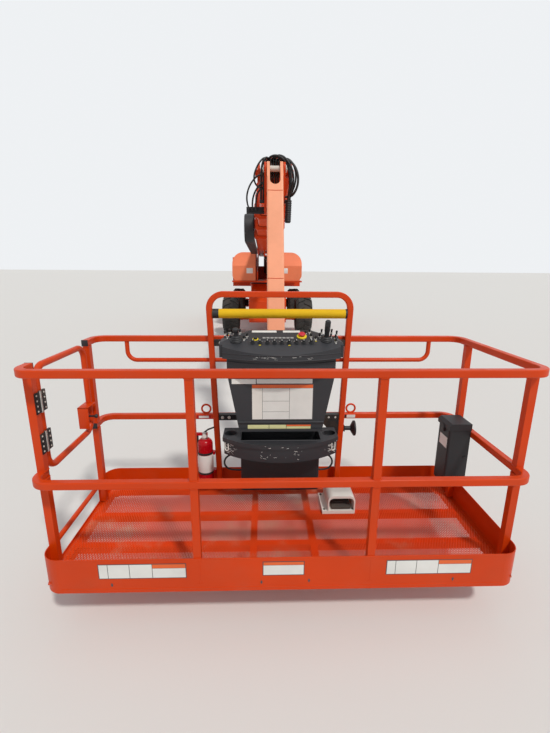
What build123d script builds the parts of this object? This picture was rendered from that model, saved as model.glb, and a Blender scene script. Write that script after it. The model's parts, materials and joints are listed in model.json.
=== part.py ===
from build123d import *
import os
from math import cos, hypot, pi, radians, sin, tan

# A self-propelled telescopic boom lift, parked with its boom lowered and its jib hanging.
# Millimetres. X runs across the machine, Y runs from the platform to the tail, Z is up.
# The origin lies on the ground, under the middle of the machine's length and width.

# Running gear
WHEELBASE = 3810.0
OVERALL_WIDTH = 2490.0
TYRE_R = 530.0
TYRE_WIDTH = 440.0
TYRE_SHOULDER = 70.0
TYRE_SIDE_RISE = 90.0
LUG_COUNT = 14
LUG_HEIGHT = 34.0
LUG_THICK = 66.0
LUG_LENGTH = 256.0
LUG_MID_X = 122.0
LUG_SWEEP = 28.0
RIM_R = 305.0
RIM_WIDTH = 300.0
RIM_WALL = 12.0
RIM_DISC = 16.0
HUB_R = 112.0
SPINDLE_R = 60.0
MOTOR_R = 150.0
KINGPIN_X = 740.0
KINGPIN_R = 32.0
KNUCKLE_R = 66.0
KNUCKLE_HEIGHT = 216.0
YOKE_PLATE = 34.0
AXLE_WIDTH = 220.0

# Chassis
FRAME_HALF_WIDTH = 515.0
FRAME_OVERHANG = 330.0
FRAME_BOTTOM = 330.0
FRAME_TOP = 1060.0
BELLY_Z = 470.0
PEDESTAL_TOP = 1330.0
PEDESTAL_FOOT = 1500.0
TIE_LUG_X = 380.0
TIE_LUG_THICK = 30.0
TIE_LUG_R = 55.0
TIE_HOLE_R = 22.0
TIE_REACH = 60.0
TIE_Z = 560.0
RING_R = 560.0
RING_HEIGHT = 70.0

# Turntable
DECK_THICK = 40.0
DECK_HALF_WIDTH = 1060.0
DECK_FRONT = 1080.0
TAIL_REACH = 2250.0
COUNTERWEIGHT_FRONT = 1260.0
COUNTERWEIGHT_BOTTOM = 1180.0
COUNTERWEIGHT_TOP = 2180.0
COUNTERWEIGHT_SLOT_FLOOR = 1880.0
TAIL_CORNER_R = 480.0
UPRIGHT_THICK = 40.0
UPRIGHT_GAP = 6.0
BULKHEAD_THICK = 10.0
PIVOT_BACK = 1450.0
PIVOT_Z = 2480.0
PIVOT_R = 60.0

# Hoods
HOOD_INNER_X = 352.0
HOOD_OUTER_X = 1045.0
HOOD_TOP_Z = 2280.0
HOOD_CREASE_Z = 1880.0
HOOD_NOSE_SLOPE = 260.0
HOOD_CORNER_R = 320.0
HOOD_SKIN = 8.0
HOOD_GAP = 6.0
HOOD_FRONT = 1050.0
HOOD_FOOT_CHAMFER = 130.0
HOOD_FOOT_TUCK = 70.0
LOUVRE_COUNT = 7
LOUVRE_PITCH = 46.0
LOUVRE_LENGTH = 520.0
LOUVRE_HEIGHT = 16.0
LOUVRE_PROUD = 12.0
LOUVRE_FOOT_Z = 1600.0
HINGE_PIN_R = 9.0
HINGE_BARREL_R = 16.0
HINGE_LENGTH = 120.0
HINGE_RISE = 18.0

# Boom: pieces slide inside one another, all on one centre line
BOOM_SLOPE = 1.27
BOOM_CENTRE_V = 60.0
BASE_WIDTH = 540.0
BASE_HEIGHT = 620.0
BASE_REAR_U = -320.0
BASE_FRONT_U = 6700.0
SECTION_CORNER_R = 38.0
SLIDE_CLEARANCE = 6.0
PAD_WIDTH = 110.0
PAD_LENGTH = 120.0
COLLAR_LENGTH = 150.0
COLLAR_PROUD = 24.0
# name, width, height, wall, rear end, front end (the ends are measured from the boom's pivot)
BOOM_SECTIONS = [
    ("boom_base", BASE_WIDTH, BASE_HEIGHT, 14.0, BASE_REAR_U, BASE_FRONT_U),
    ("boom_outer_mid", 455.0, 535.0, 12.0, 400.0, 7800.0),
    ("boom_inner_mid", 380.0, 460.0, 11.0, 700.0, 8750.0),
    ("boom_fly", 310.0, 390.0, 10.0, 1000.0, 9600.0),
]
NOSE_U = 10440.0
NOSE_PIN_R = 35.0
TRACK_WIDTH = 190.0
TRACK_LOW_V = -270.0
TRACK_HIGH_V = 150.0
TRACK_CHAIN = 110.0
TRACK_TOP_REAR_U = 5200.0
TRACK_CLIP = 90.0
TRACK_CLIP_THICK = 10.0
TRACK_REAR_U = 2700.0
TRACK_FRONT_U = BASE_FRONT_U - COLLAR_LENGTH
TRACK_PITCH = 175.0
TRACK_LINK = 150.0
TRACK_NECK = 8.0
TRACK_CORNER_R = 20.0

# Lift cylinder, under the boom
CYL_BACK = 700.0
CYL_DROP = 780.0
CYL_EYE_U = 3000.0
CYL_EYE_V = -335.0
CYL_BARREL_R = 100.0
CYL_ROD_R = 58.0
CYL_EYE_R = 74.0
CYL_LUG_R = 80.0
CYL_PIN_R = 35.0
CYL_EYE_WIDTH = 132.0
CYL_HEAD_GAP = 230.0

# Jib
JIB_LENGTH = 2080.0
JIB_DROP = 67.4
JIB_WIDTH = 148.0
JIB_DEPTH = 190.0
JIB_WALL = 8.0
JIB_EAR_R = 62.0
JIB_PIN_R = 25.0
JIB_FORK_DEPTH = 215.0
JIB_FORK_WIDTH = 96.0
JIB_FORK_WEB = 40.0
JIB_CHEEK_FROM = 130.0
JIB_CORNER_R = 14.0
NOSE_PLATE = 20.0
NOSE_GAP = 4.0
NOSE_AHEAD = 150.0
NOSE_ABOVE = 10.0
LINK_BACK = 61.0
LINK_DROP = 206.0
LINK_BAR_DEPTH = 40.0
LINK_BAR_THICK = 12.0
LINK_INNER_X = 56.0
LINK_PIN_PROUD = 3.0
LINK_EYE_R = 26.0
LINK_PIN_R = 16.0
JIB_CYL_BACK = 200.0
JIB_CYL_DROP = 330.0
JIB_CYL_EYE_ALONG = 1100.0
JIB_CYL_EYE_OFF = 150.0
JIB_CYL_R = 48.0
JIB_CYL_ROD_R = 25.0
JIB_CYL_EYE_R = 40.0
JIB_CYL_HEAD_GAP = 110.0
JIB_CYL_PIN_R = 20.0
JIB_CYL_EYE_WIDTH = 50.0
JIB_LUG_THICK = 16.0

# Platform rotator
ROTATOR_AHEAD = 270.0
ROTATOR_R = 108.0
ROTATOR_BOTTOM_DROP = 320.0
ROTATOR_HEIGHT = 360.0
ROTATOR_SHAFT_R = 45.0
CARRIER_PLATE = 30.0
CARRIER_GAP = 6.0
PLATFORM_BEHIND = 320.0

# Platform
PLATFORM_WIDTH = 2440.0
PLATFORM_DEPTH = 915.0
PLATFORM_CLEARANCE = 230.0
RAIL = 38.0
RAIL_WALL_R = 6.0
RAIL_BEND_R = 70.0
TOP_RAIL_Z = 1164.0
MID_RAIL_Z = 620.0
KICK_HEIGHT = 195.0
KICK_SHEET = 4.0
FLOOR_TUBE = 45.0
MESH_THICK = 6.0
POST_FRONT_Y = 124.0
POST_REAR_Y = 746.0
MID_POST_X = 437.0
HOOP_HALF_WIDTH = 1005.0
HOOP_TUBE_R = 14.0
HOOP_DROP = 140.0
HOOP_BEND_R = 60.0
CENTRE_HOOP_HALF_WIDTH = 475.0
CENTRE_HOOP_FOOT_HALF = 432.0
CENTRE_HOOP_TOP = 1455.0
CENTRE_HOOP_BEND_R = 90.0
GRAB_BAR_R = 30.0
GRAB_BAR_Z = 1314.0

# Gate
GATE_GAP = 20.0
GATE_TUBE_R = 17.0
GATE_BEND_R = 70.0
GATE_TOP_Z = 1150.0
GATE_BOTTOM_Z = 600.0

# Console and loose fittings on the platform; depths run back from the platform's front edge
CONSOLE_WIDTH = 730.0
CONSOLE_LIP_WIDTH = 690.0
CONSOLE_CROWN_WIDTH = 370.0
CONSOLE_BACK_Y = 745.0
CONSOLE_LIP_END_Y = 560.0
CONSOLE_LIP_MID_Y = 475.0
CONSOLE_TOP_Z = 1225.0
CONSOLE_SHOULDER_Z = 1173.0
CONSOLE_LIP_Z = 1125.0
CONSOLE_BAND = 36.0
CONSOLE_TUCK = 22.0
CONSOLE_FOOT_Z = 1000.0
LABEL_FRONT_Y = 580.0
LABEL_TOP_WIDTH = 650.0
LABEL_FOOT_WIDTH = 510.0
LABEL_FOOT_Z = 625.0
LABEL_LIP = 14.0
TRAY_WIDTH = 724.0
TRAY_END_Y = 595.0
TRAY_MID_Y = 465.0
TRAY_TOP_Z = 575.0
TRAY_RIM = 26.0
TRAY_RIM_PROUD = 8.0
TRAY_FOOT_Z = 462.0
TRAY_WALL = 12.0
CUP_R = 40.0
CUP_X = 315.0
CUP_Y = 655.0
TROUGH_HALF = 245.0
TROUGH_FRONT_Y = 545.0
LOWER_BOX_WIDTH = 505.0
LOWER_BOX_FRONT_Y = 620.0
LOWER_BOX_FOOT_Z = 190.0
LOWER_BOX_R = 16.0
BACK_PLATE_HALF = 200.0
BACK_PLATE = 12.0
BACK_ARM = 40.0
BACK_ARM_FOOT_Z = 590.0
BACK_ARM_TOP_Z = 1105.0
GUSSET_Z = 485.0
GUSSET_INNER_X = 282.0
HORN_X = 520.0
HORN_Z = 520.0
HORN_R = 50.0
HORN_THROAT_R = 13.0
HORN_DEPTH = 62.0
HORN_RIM = 8.0
SWITCH_X0 = 275.0
SWITCH_X1 = 487.0
SWITCH_COVER_X0 = 310.0
SWITCH_Y0 = 555.0
SWITCH_Y1 = 765.0
SWITCH_BASE = 22.0
SWITCH_HEIGHT = 105.0
SWITCH_WALL = 8.0
EXTINGUISHER_R = 52.0
EXTINGUISHER_HEIGHT = 330.0
EXTINGUISHER_X = -510.0
EXTINGUISHER_Z = 130.0
EXTINGUISHER_NECK_R = 16.0
EXTINGUISHER_NECK = 40.0
DOC_BOX_DEPTH = 135.0
DOC_BOX_Y0 = 555.0
DOC_BOX_Y1 = 705.0
DOC_BOX_FOOT_Z = 250.0
DOC_BOX_LID_Z = 630.0
DOC_BOX_TOP_Z = 672.0
DOC_BOX_LID_PROUD = 6.0
RING_EYE_R = 30.0
RING_EYE_BAR_R = 6.5
RING_EYE_X = 502.0
RING_FOOT = 30.0
SILL_R = 14.0
SILL_Z = 200.0
LATCH_Z = 703.0
LATCH_HEIGHT = 90.0
LATCH_WIDTH = 62.0
LATCH_PLATE = 8.0

# Hoses and cables; each route is a list of points, chosen by hand
HOSE_R = 11.0
HOSE_PLATE = 10.0
HOSE_PLATE_BACK = 120.0
HOSE_PLATE_LOW = 20.0
HOSE_PLATE_HIGH = 125.0
CABLE_R = 6.0
ARC_SHARE = 0.45
# x, y and z from the middle of the jib's upper pin
JIB_HOSE_RIGHT = [
    (30.0, 120.0, 100.0), (30.0, 62.0, 100.0), (72.0, 22.0, 98.0), (128.0, -6.0, 74.0), (184.0, -32.0, 22.0),
    (216.0, -46.0, -62.0), (214.0, -40.0, -152.0), (178.0, -4.0, -222.0), (140.0, 58.0, -232.0),
    (98.0, 58.0, -232.0),
]
# x, depth from the platform's front and height above its bottom
CONSOLE_CABLE_LEFT = [
    (-252.5, 672.0, 425.0), (-300.0, 672.0, 425.0), (-348.0, 668.0, 408.0), (-366.0, 664.0, 366.0),
    (-346.0, 662.0, 326.0), (-300.0, 664.0, 312.0), (-252.5, 664.0, 312.0),
]
CONSOLE_CABLE_RIGHT = [
    (252.5, 680.0, 418.0), (296.0, 680.0, 418.0), (334.0, 676.0, 400.0), (350.0, 672.0, 360.0),
    (330.0, 670.0, 320.0), (292.0, 672.0, 306.0), (252.5, 672.0, 306.0),
]

NOSE_CHEEK_X = 140.0
NOSE_CHEEK = 25.0

PIN_CLEARANCE = 0.08
SEAT_GAP = 0.3

# Places worked out from the sizes above
SLOPE = radians(BOOM_SLOPE)
DROP = radians(JIB_DROP)
NOSE_FROM_PIVOT_Y = -NOSE_U * cos(SLOPE)
NOSE_Z = PIVOT_Z + NOSE_U * sin(SLOPE)
JIB_TOP_FROM_PIVOT_Y = NOSE_FROM_PIVOT_Y - NOSE_AHEAD
JIB_TOP_Z = NOSE_Z + NOSE_ABOVE
JIB_FOOT_FROM_PIVOT_Y = JIB_TOP_FROM_PIVOT_Y - JIB_LENGTH * cos(DROP)
JIB_FOOT_Z = JIB_TOP_Z - JIB_LENGTH * sin(DROP)
PLATFORM_FRONT_FROM_SWING = (
    PIVOT_BACK + JIB_FOOT_FROM_PIVOT_Y - ROTATOR_AHEAD - PLATFORM_BEHIND - PLATFORM_DEPTH
)
REAR_REACH = max(TAIL_REACH, WHEELBASE / 2 + TYRE_R)
OVERALL_LENGTH = REAR_REACH - PLATFORM_FRONT_FROM_SWING
SWING_Y = OVERALL_LENGTH / 2 - REAR_REACH
PIVOT_Y = SWING_Y + PIVOT_BACK
NOSE_Y = PIVOT_Y + NOSE_FROM_PIVOT_Y
JIB_TOP_Y = PIVOT_Y + JIB_TOP_FROM_PIVOT_Y
JIB_FOOT_Y = PIVOT_Y + JIB_FOOT_FROM_PIVOT_Y
ROTATOR_Y = JIB_FOOT_Y - ROTATOR_AHEAD
PLATFORM_REAR_Y = ROTATOR_Y - PLATFORM_BEHIND
PLATFORM_FRONT_Y = PLATFORM_REAR_Y - PLATFORM_DEPTH
WHEEL_X = OVERALL_WIDTH / 2 - TYRE_WIDTH / 2
AXLE_Z = TYRE_R
RING_TOP = PEDESTAL_TOP + RING_HEIGHT
DECK_TOP = RING_TOP + DECK_THICK
UPRIGHT_INNER_X = BASE_WIDTH / 2 + UPRIGHT_GAP
UPRIGHT_OUTER_X = UPRIGHT_INNER_X + UPRIGHT_THICK
CYL_FOOT_Y = PIVOT_Y - CYL_BACK
CYL_FOOT_Z = PIVOT_Z - CYL_DROP
ROTATOR_Z0 = JIB_FOOT_Z - ROTATOR_BOTTOM_DROP
ROTATOR_Z1 = ROTATOR_Z0 + ROTATOR_HEIGHT
FLOOR_Z = PLATFORM_CLEARANCE
DECK_Z = FLOOR_Z + FLOOR_TUBE
SIDES = [("left", -1), ("right", 1)]
AXLES = [("front", SWING_Y - WHEELBASE / 2), ("rear", SWING_Y + WHEELBASE / 2)]


def block(x0, x1, y0, y1, z0, z1):
    return Pos((x0 + x1) / 2, (y0 + y1) / 2, (z0 + z1) / 2) * Box(abs(x1 - x0), abs(y1 - y0), abs(z1 - z0))


def rod_x(y, z, r, x0, x1):
    return Pos((x0 + x1) / 2, y, z) * Rot(0, 90, 0) * Cylinder(r, abs(x1 - x0))


def rod_z(x, y, r, z0, z1):
    return Pos(x, y, (z0 + z1) / 2) * Cylinder(r, abs(z1 - z0))


def bar(a, b, r):
    # a round bar from point a to point b
    run = Vector(*b) - Vector(*a)
    place = Plane(origin=a, z_dir=run)
    return place * Pos(0, 0, run.length / 2) * Cylinder(r, run.length)


def yz_plate(outline, x0, x1):
    # a plate whose outline of (y, z) points is pulled from x0 to x1
    face = make_face(Polyline(*[(0, y, z) for y, z in outline], close=True).edges())
    return extrude(Pos(min(x0, x1), 0, 0) * face, abs(x1 - x0), dir=(1, 0, 0))


def web_plate(rounds, x0, x1):
    # a plate stretched round a few circles, each (y, z, radius)
    with BuildSketch(Plane.YZ) as web:
        for y, z, r in rounds:
            with Locations((y, z)):
                Circle(r)
        make_hull()
    return extrude(Pos(min(x0, x1), 0, 0) * web.sketch, abs(x1 - x0), dir=(1, 0, 0))


def both_sides(make):
    return make(1) + make(-1)


def stub_pins(y, z, r, x0, x1):
    # the two ends of a pin, left open between them where a cylinder's eye has to drift
    return both_sides(lambda s: rod_x(y, z, r, s * x0, s * x1))


def boom_point(u, v):
    # a point along (u) and above (v) the boom's pivot line, as (y, z)
    return (PIVOT_Y - u * cos(SLOPE) + v * sin(SLOPE), PIVOT_Z + u * sin(SLOPE) + v * cos(SLOPE))


def boom_place(u, v=0.0):
    # local x is across to the left, local y is down from the boom, local z points to the boom's nose
    y, z = boom_point(u, v)
    return Plane(origin=(0, y, z), x_dir=(-1, 0, 0), z_dir=(0, -cos(SLOPE), sin(SLOPE)))


def jib_point(along, off):
    # along the jib from its upper pivot, and off towards the chassis, as (y, z)
    return (
        JIB_TOP_Y - along * cos(DROP) + off * sin(DROP),
        JIB_TOP_Z - along * sin(DROP) - off * cos(DROP),
    )


def jib_place(along):
    y, z = jib_point(along, 0)
    return Plane(origin=(0, y, z), x_dir=(1, 0, 0), z_dir=(0, -cos(DROP), -sin(DROP)))


def tyre_body(crown_r):
    # a tyre's body on the X axis, out to the given radius at the crown
    half = TYRE_WIDTH / 2
    bead = RIM_WIDTH / 2
    side_r = RIM_R + TYRE_SIDE_RISE
    shoulder_r = crown_r - TYRE_SHOULDER
    crown_x = half - TYRE_SHOULDER
    with BuildSketch(Plane.XZ) as section:
        with BuildLine():
            Polyline(
                (-bead, RIM_R), (bead, RIM_R), (half, side_r), (half, shoulder_r), (crown_x, crown_r),
                (-crown_x, crown_r), (-half, shoulder_r), (-half, side_r), close=True,
            )
        make_face()
    return revolve(section.sketch, Axis.X)


def lugged_tyre():
    # chevron lugs in two staggered rows, cut to the tyre's outer shape
    step = 360.0 / LUG_COUNT
    blank = Box(LUG_LENGTH, LUG_THICK, 3 * LUG_HEIGHT)
    lugs = []
    for row, stagger in ((1, 0.0), (-1, 0.5)):
        place = Pos(row * LUG_MID_X, 0, -(TYRE_R - LUG_HEIGHT)) * Rot(0, 0, row * LUG_SWEEP)
        lugs += [Rot(step * (k + stagger), 0, 0) * place * blank for k in range(LUG_COUNT)]
    tread = (Part() + lugs) & tyre_body(TYRE_R)
    return tyre_body(TYRE_R - LUG_HEIGHT) + tread


TYRE_RIGHT = lugged_tyre()
TYRE_LEFT = mirror(TYRE_RIGHT, about=Plane.YZ)


def make_tyre(side, axle_y):
    return Pos(side * WHEEL_X, axle_y, AXLE_Z) * (TYRE_RIGHT if side > 0 else TYRE_LEFT)


def make_rim(side, axle_y):
    half = RIM_WIDTH / 2
    disc_x = -40.0
    with BuildSketch(Plane.XZ) as section:
        with BuildLine():
            Polyline(
                (-half, RIM_R), (half, RIM_R), (half, RIM_R - RIM_WALL),
                (disc_x + RIM_DISC, RIM_R - RIM_WALL),
                (disc_x + RIM_DISC, HUB_R), (disc_x + 95, HUB_R - 12), (disc_x + 95, 0), (disc_x + 60, 0),
                (disc_x + 60, SPINDLE_R + PIN_CLEARANCE), (disc_x, SPINDLE_R + PIN_CLEARANCE),
                (disc_x, RIM_R - RIM_WALL), (-half, RIM_R - RIM_WALL), close=True,
            )
        make_face()
    rim = revolve(section.sketch, Axis.X)
    if side < 0:
        rim = mirror(rim, about=Plane.YZ)
    return Pos(side * WHEEL_X, axle_y, AXLE_Z) * rim


def make_knuckle(side, axle_y):
    disc_x = WHEEL_X - 40.0
    half = KNUCKLE_HEIGHT / 2
    body = rod_z(KINGPIN_X, axle_y, KNUCKLE_R, AXLE_Z - half, AXLE_Z + half)
    body += rod_x(axle_y, AXLE_Z, MOTOR_R * 0.66, KINGPIN_X, disc_x - 120)
    body += rod_x(axle_y, AXLE_Z, MOTOR_R, disc_x - 150, disc_x - 8)
    body += rod_x(axle_y, AXLE_Z, SPINDLE_R, disc_x - 10, disc_x + 58)
    arm_y = axle_y + (1 if axle_y > SWING_Y else -1) * 150
    body += block(KINGPIN_X - 30, KINGPIN_X + 30, axle_y, arm_y, AXLE_Z - 30, AXLE_Z)
    body -= rod_z(KINGPIN_X, axle_y, KINGPIN_R + PIN_CLEARANCE, AXLE_Z - half - 1, AXLE_Z + half + 1)
    return body if side > 0 else mirror(body, about=Plane.YZ)


def make_axle(axle_y):
    half = AXLE_WIDTH / 2
    yoke = KNUCKLE_HEIGHT / 2 + 1.0
    end_x = KINGPIN_X - KNUCKLE_R - 24
    beam = block(-end_x, end_x, axle_y - half, axle_y + half, AXLE_Z - half, AXLE_Z + half)

    def yoke_end(side):
        plates = Part()
        for z0, z1 in ((yoke, yoke + YOKE_PLATE), (-yoke - YOKE_PLATE, -yoke)):
            plate = block(
                side * (end_x - 120), side * KINGPIN_X, axle_y - 80, axle_y + 80, AXLE_Z + z0, AXLE_Z + z1
            )
            plate += rod_z(side * KINGPIN_X, axle_y, 80, AXLE_Z + z0, AXLE_Z + z1)
            plates += plate
        plates += rod_z(
            side * KINGPIN_X, axle_y, KINGPIN_R, AXLE_Z - yoke - YOKE_PLATE - 14,
            AXLE_Z + yoke + YOKE_PLATE + 14
        )
        return plates

    return beam + yoke_end(1) + yoke_end(-1)


def make_chassis_frame():
    front = SWING_Y - WHEELBASE / 2 - FRAME_OVERHANG
    rear = SWING_Y + WHEELBASE / 2 + FRAME_OVERHANG
    outline = [
        (front, FRAME_BOTTOM + 60), (front + 60, FRAME_BOTTOM), (front + 640, FRAME_BOTTOM),
        (front + 800, BELLY_Z),
        (rear - 800, BELLY_Z), (rear - 640, FRAME_BOTTOM), (rear - 60, FRAME_BOTTOM),
        (rear, FRAME_BOTTOM + 60),
        (rear, FRAME_TOP - 160), (rear - 200, FRAME_TOP), (front + 200, FRAME_TOP), (front, FRAME_TOP - 160),
    ]
    frame = yz_plate(outline, -FRAME_HALF_WIDTH, FRAME_HALF_WIDTH)
    foot = Pos(0, SWING_Y, FRAME_TOP) * Rectangle(2 * FRAME_HALF_WIDTH - 20, PEDESTAL_FOOT)
    curb_shape = RectangleRounded(2 * FRAME_HALF_WIDTH - 20, PEDESTAL_FOOT - 20, 60)
    curb = Pos(0, SWING_Y, FRAME_TOP + 40) * curb_shape
    head = Pos(0, SWING_Y, PEDESTAL_TOP) * RectangleRounded(2 * RING_R - 60, 2 * RING_R + 60, 300)
    frame += loft([foot, curb, head])
    for _, axle_y in AXLES:
        half = AXLE_WIDTH / 2
        reach = FRAME_HALF_WIDTH + 1
        frame -= block(-reach, reach, axle_y - half, axle_y + half, AXLE_Z - half, AXLE_Z + half)
    for end_y, out in ((front, -1), (rear, 1)):
        frame += both_sides(lambda s: tie_lug(s, end_y, out))
    return frame


def tie_lug(side, end_y, out):
    # a plate with a shackle hole, for tying the machine down on a lorry
    x0 = side * (TIE_LUG_X - TIE_LUG_THICK / 2)
    x1 = side * (TIE_LUG_X + TIE_LUG_THICK / 2)
    eye_y = end_y + out * TIE_REACH
    root_y = end_y - out * 10
    plate = web_plate([(eye_y, TIE_Z, TIE_LUG_R), (root_y, TIE_Z - 90, 8), (root_y, TIE_Z + 90, 8)], x0, x1)
    return plate - rod_x(eye_y, TIE_Z, TIE_HOLE_R, x0 - side, x1 + side)


def make_slew_ring():
    return rod_z(0, SWING_Y, RING_R - 20, PEDESTAL_TOP, PEDESTAL_TOP + RING_HEIGHT / 2)


def make_turntable_deck():
    front = SWING_Y - DECK_FRONT
    rear = SWING_Y + COUNTERWEIGHT_FRONT
    z0, z1 = RING_TOP, DECK_TOP
    deck = block(-DECK_HALF_WIDTH, DECK_HALF_WIDTH, front, rear, z0, z1)
    deck = fillet(deck.edges().filter_by(Axis.Z), 60)
    deck += rod_z(0, SWING_Y, RING_R, PEDESTAL_TOP + RING_HEIGHT / 2 + SEAT_GAP, RING_TOP + DECK_THICK / 2)

    def lug(side):
        x0 = side * (CYL_EYE_WIDTH / 2 + 1)
        x1 = side * (CYL_EYE_WIDTH / 2 + 31)
        feet = [(CYL_FOOT_Y - 120, DECK_TOP, 10), (CYL_FOOT_Y + 120, DECK_TOP, 10)]
        return web_plate([(CYL_FOOT_Y, CYL_FOOT_Z, CYL_LUG_R)] + feet, x0, x1)

    deck += both_sides(lug)
    reach = CYL_EYE_WIDTH / 2 + 45
    return deck + rod_x(CYL_FOOT_Y, CYL_FOOT_Z, CYL_PIN_R, -reach, reach)


def make_uprights():
    # the two side plates that carry the boom's pivot pin
    front = SWING_Y - DECK_FRONT
    top = DECK_TOP
    outline = [
        (front + 60, top), (front + 60, top + 260), (front + 900, top + 420), (PIVOT_Y - 330, PIVOT_Z - 120),
        (PIVOT_Y - 150, PIVOT_Z + 60), (PIVOT_Y - 60, PIVOT_Z + 150), (PIVOT_Y + 60, PIVOT_Z + 150),
        (PIVOT_Y + 150, PIVOT_Z + 60), (PIVOT_Y + 190, top),
    ]
    plates = both_sides(lambda s: yz_plate(outline, s * UPRIGHT_INNER_X, s * UPRIGHT_OUTER_X))
    reach = UPRIGHT_OUTER_X + 1
    return plates - rod_x(PIVOT_Y, PIVOT_Z, PIVOT_R + PIN_CLEARANCE, -reach, reach)


def make_bulkheads():
    # the inner walls of the two hoods, each with its hinge brackets
    front = SWING_Y - HOOD_FRONT
    rear = SWING_Y + COUNTERWEIGHT_FRONT
    outline = [
        (front, DECK_TOP), (rear, DECK_TOP), (rear, HOOD_TOP_Z - 40),
        (front + HOOD_NOSE_SLOPE, HOOD_TOP_Z - 40),
        (front, HOOD_CREASE_Z),
    ]
    far = HOOD_INNER_X - HOOD_GAP
    walls = both_sides(lambda s: yz_plate(outline, s * (far - BULKHEAD_THICK), s * far))
    for y in HOOD_HINGES_Y:
        walls += both_sides(lambda s: hinge_bracket(s, y))
    return walls


HOOD_HINGE_X = HOOD_INNER_X - HOOD_GAP / 2
HOOD_HINGE_Z = HOOD_TOP_Z + HINGE_RISE
HOOD_HINGES_Y = [SWING_Y - 500, SWING_Y + 300, SWING_Y + 1000]
LOUVRE_Y = SWING_Y + 300


def hinge_bracket(side, y):
    # a tab on the bulkhead with a pin along Y, which the hood's barrel turns on
    x = side * HOOD_HINGE_X
    near = side * (HOOD_INNER_X - HOOD_GAP - BULKHEAD_THICK)
    far = side * (HOOD_INNER_X - HOOD_GAP)
    ends = Part()
    for y0 in (y - HINGE_LENGTH / 2 - 26, y + HINGE_LENGTH / 2 + 1):
        ends += block(near, far, y0, y0 + 25, HOOD_TOP_Z - 60, HOOD_HINGE_Z)
        ends += Pos(x, y0 + 12.5, HOOD_HINGE_Z) * Rot(90, 0, 0) * Cylinder(HINGE_BARREL_R, 25)
    pin = Pos(x, y, HOOD_HINGE_Z) * Rot(90, 0, 0) * Cylinder(HINGE_PIN_R, HINGE_LENGTH + 20)
    return ends + pin


def hinge_barrel(y):
    # the hood's half of a hinge, for the right side
    barrel = Pos(HOOD_HINGE_X, y, HOOD_HINGE_Z) * Rot(90, 0, 0) * Cylinder(HINGE_BARREL_R, HINGE_LENGTH)
    leaf = block(
        HOOD_HINGE_X, HOOD_HINGE_X + 60, y - HINGE_LENGTH / 2, y + HINGE_LENGTH / 2, HOOD_TOP_Z - 2,
        HOOD_TOP_Z + 6
    )
    body = barrel + leaf
    return body - Pos(HOOD_HINGE_X, y, HOOD_HINGE_Z) * Rot(90, 0, 0) * Cylinder(
        HINGE_PIN_R + PIN_CLEARANCE, HINGE_LENGTH + 2
    )


def make_counterweight():
    y0 = SWING_Y + COUNTERWEIGHT_FRONT
    y1 = SWING_Y + TAIL_REACH
    half = OVERALL_WIDTH / 2 - 40
    body = block(-half, half, y0, y1, COUNTERWEIGHT_BOTTOM, COUNTERWEIGHT_TOP)
    tail = body.edges().filter_by(Axis.Z).group_by(Axis.Y)[-1]
    body = fillet(tail, TAIL_CORNER_R)
    slot = UPRIGHT_OUTER_X + 5
    body -= block(-slot, slot, y0 - 1, y1 + 1, COUNTERWEIGHT_SLOT_FLOOR, COUNTERWEIGHT_TOP + 1)
    body -= block(-slot, slot, y0 - 1, PIVOT_Y + 200, DECK_TOP, COUNTERWEIGHT_TOP + 1)
    return body


def make_engine():
    x0, x1 = HOOD_INNER_X + 90, HOOD_OUTER_X - 150
    return block(x0, x1, SWING_Y - 500, SWING_Y + 700, DECK_TOP, DECK_TOP + 560)


def hood_profile(inset):
    # the hood seen from the platform: flat inner edge, rounded outer top corner, tucked-in foot
    inner, outer = HOOD_INNER_X, HOOD_OUTER_X - inset
    top = HOOD_TOP_Z - inset
    foot = DECK_TOP + HOOD_GAP - (2 if inset else 0)
    r = HOOD_CORNER_R - inset
    inner_x = inner - (2 if inset else 0)
    tuck_z = DECK_TOP + HOOD_GAP + HOOD_FOOT_CHAMFER
    with BuildSketch(Plane.XZ) as face:
        with BuildLine():
            Line((inner_x, foot), (inner_x, top))
            Line((inner_x, top), (outer - r, top))
            ThreePointArc(
                (outer - r, top), (outer - r + r * sin(pi / 4), top - r + r * cos(pi / 4)), (outer, top - r)
            )
            Line((outer, top - r), (outer, tuck_z))
            Line((outer, tuck_z), (outer - HOOD_FOOT_TUCK, foot))
            Line((outer - HOOD_FOOT_TUCK, foot), (inner_x, foot))
        make_face()
    return face.sketch


def louvre(index):
    # one of the raised cooling louvres on the hood's outer side
    z = LOUVRE_FOOT_Z + index * LOUVRE_PITCH
    x = HOOD_OUTER_X - HOOD_SKIN / 2
    outline = [(x, z), (x, z + LOUVRE_HEIGHT), (HOOD_OUTER_X + LOUVRE_PROUD, z)]
    face = make_face(Polyline(*[(px, 0, pz) for px, pz in outline], close=True).edges())
    return extrude(Pos(0, LOUVRE_Y + LOUVRE_LENGTH / 2, 0) * face, LOUVRE_LENGTH, dir=(0, -1, 0))


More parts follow.
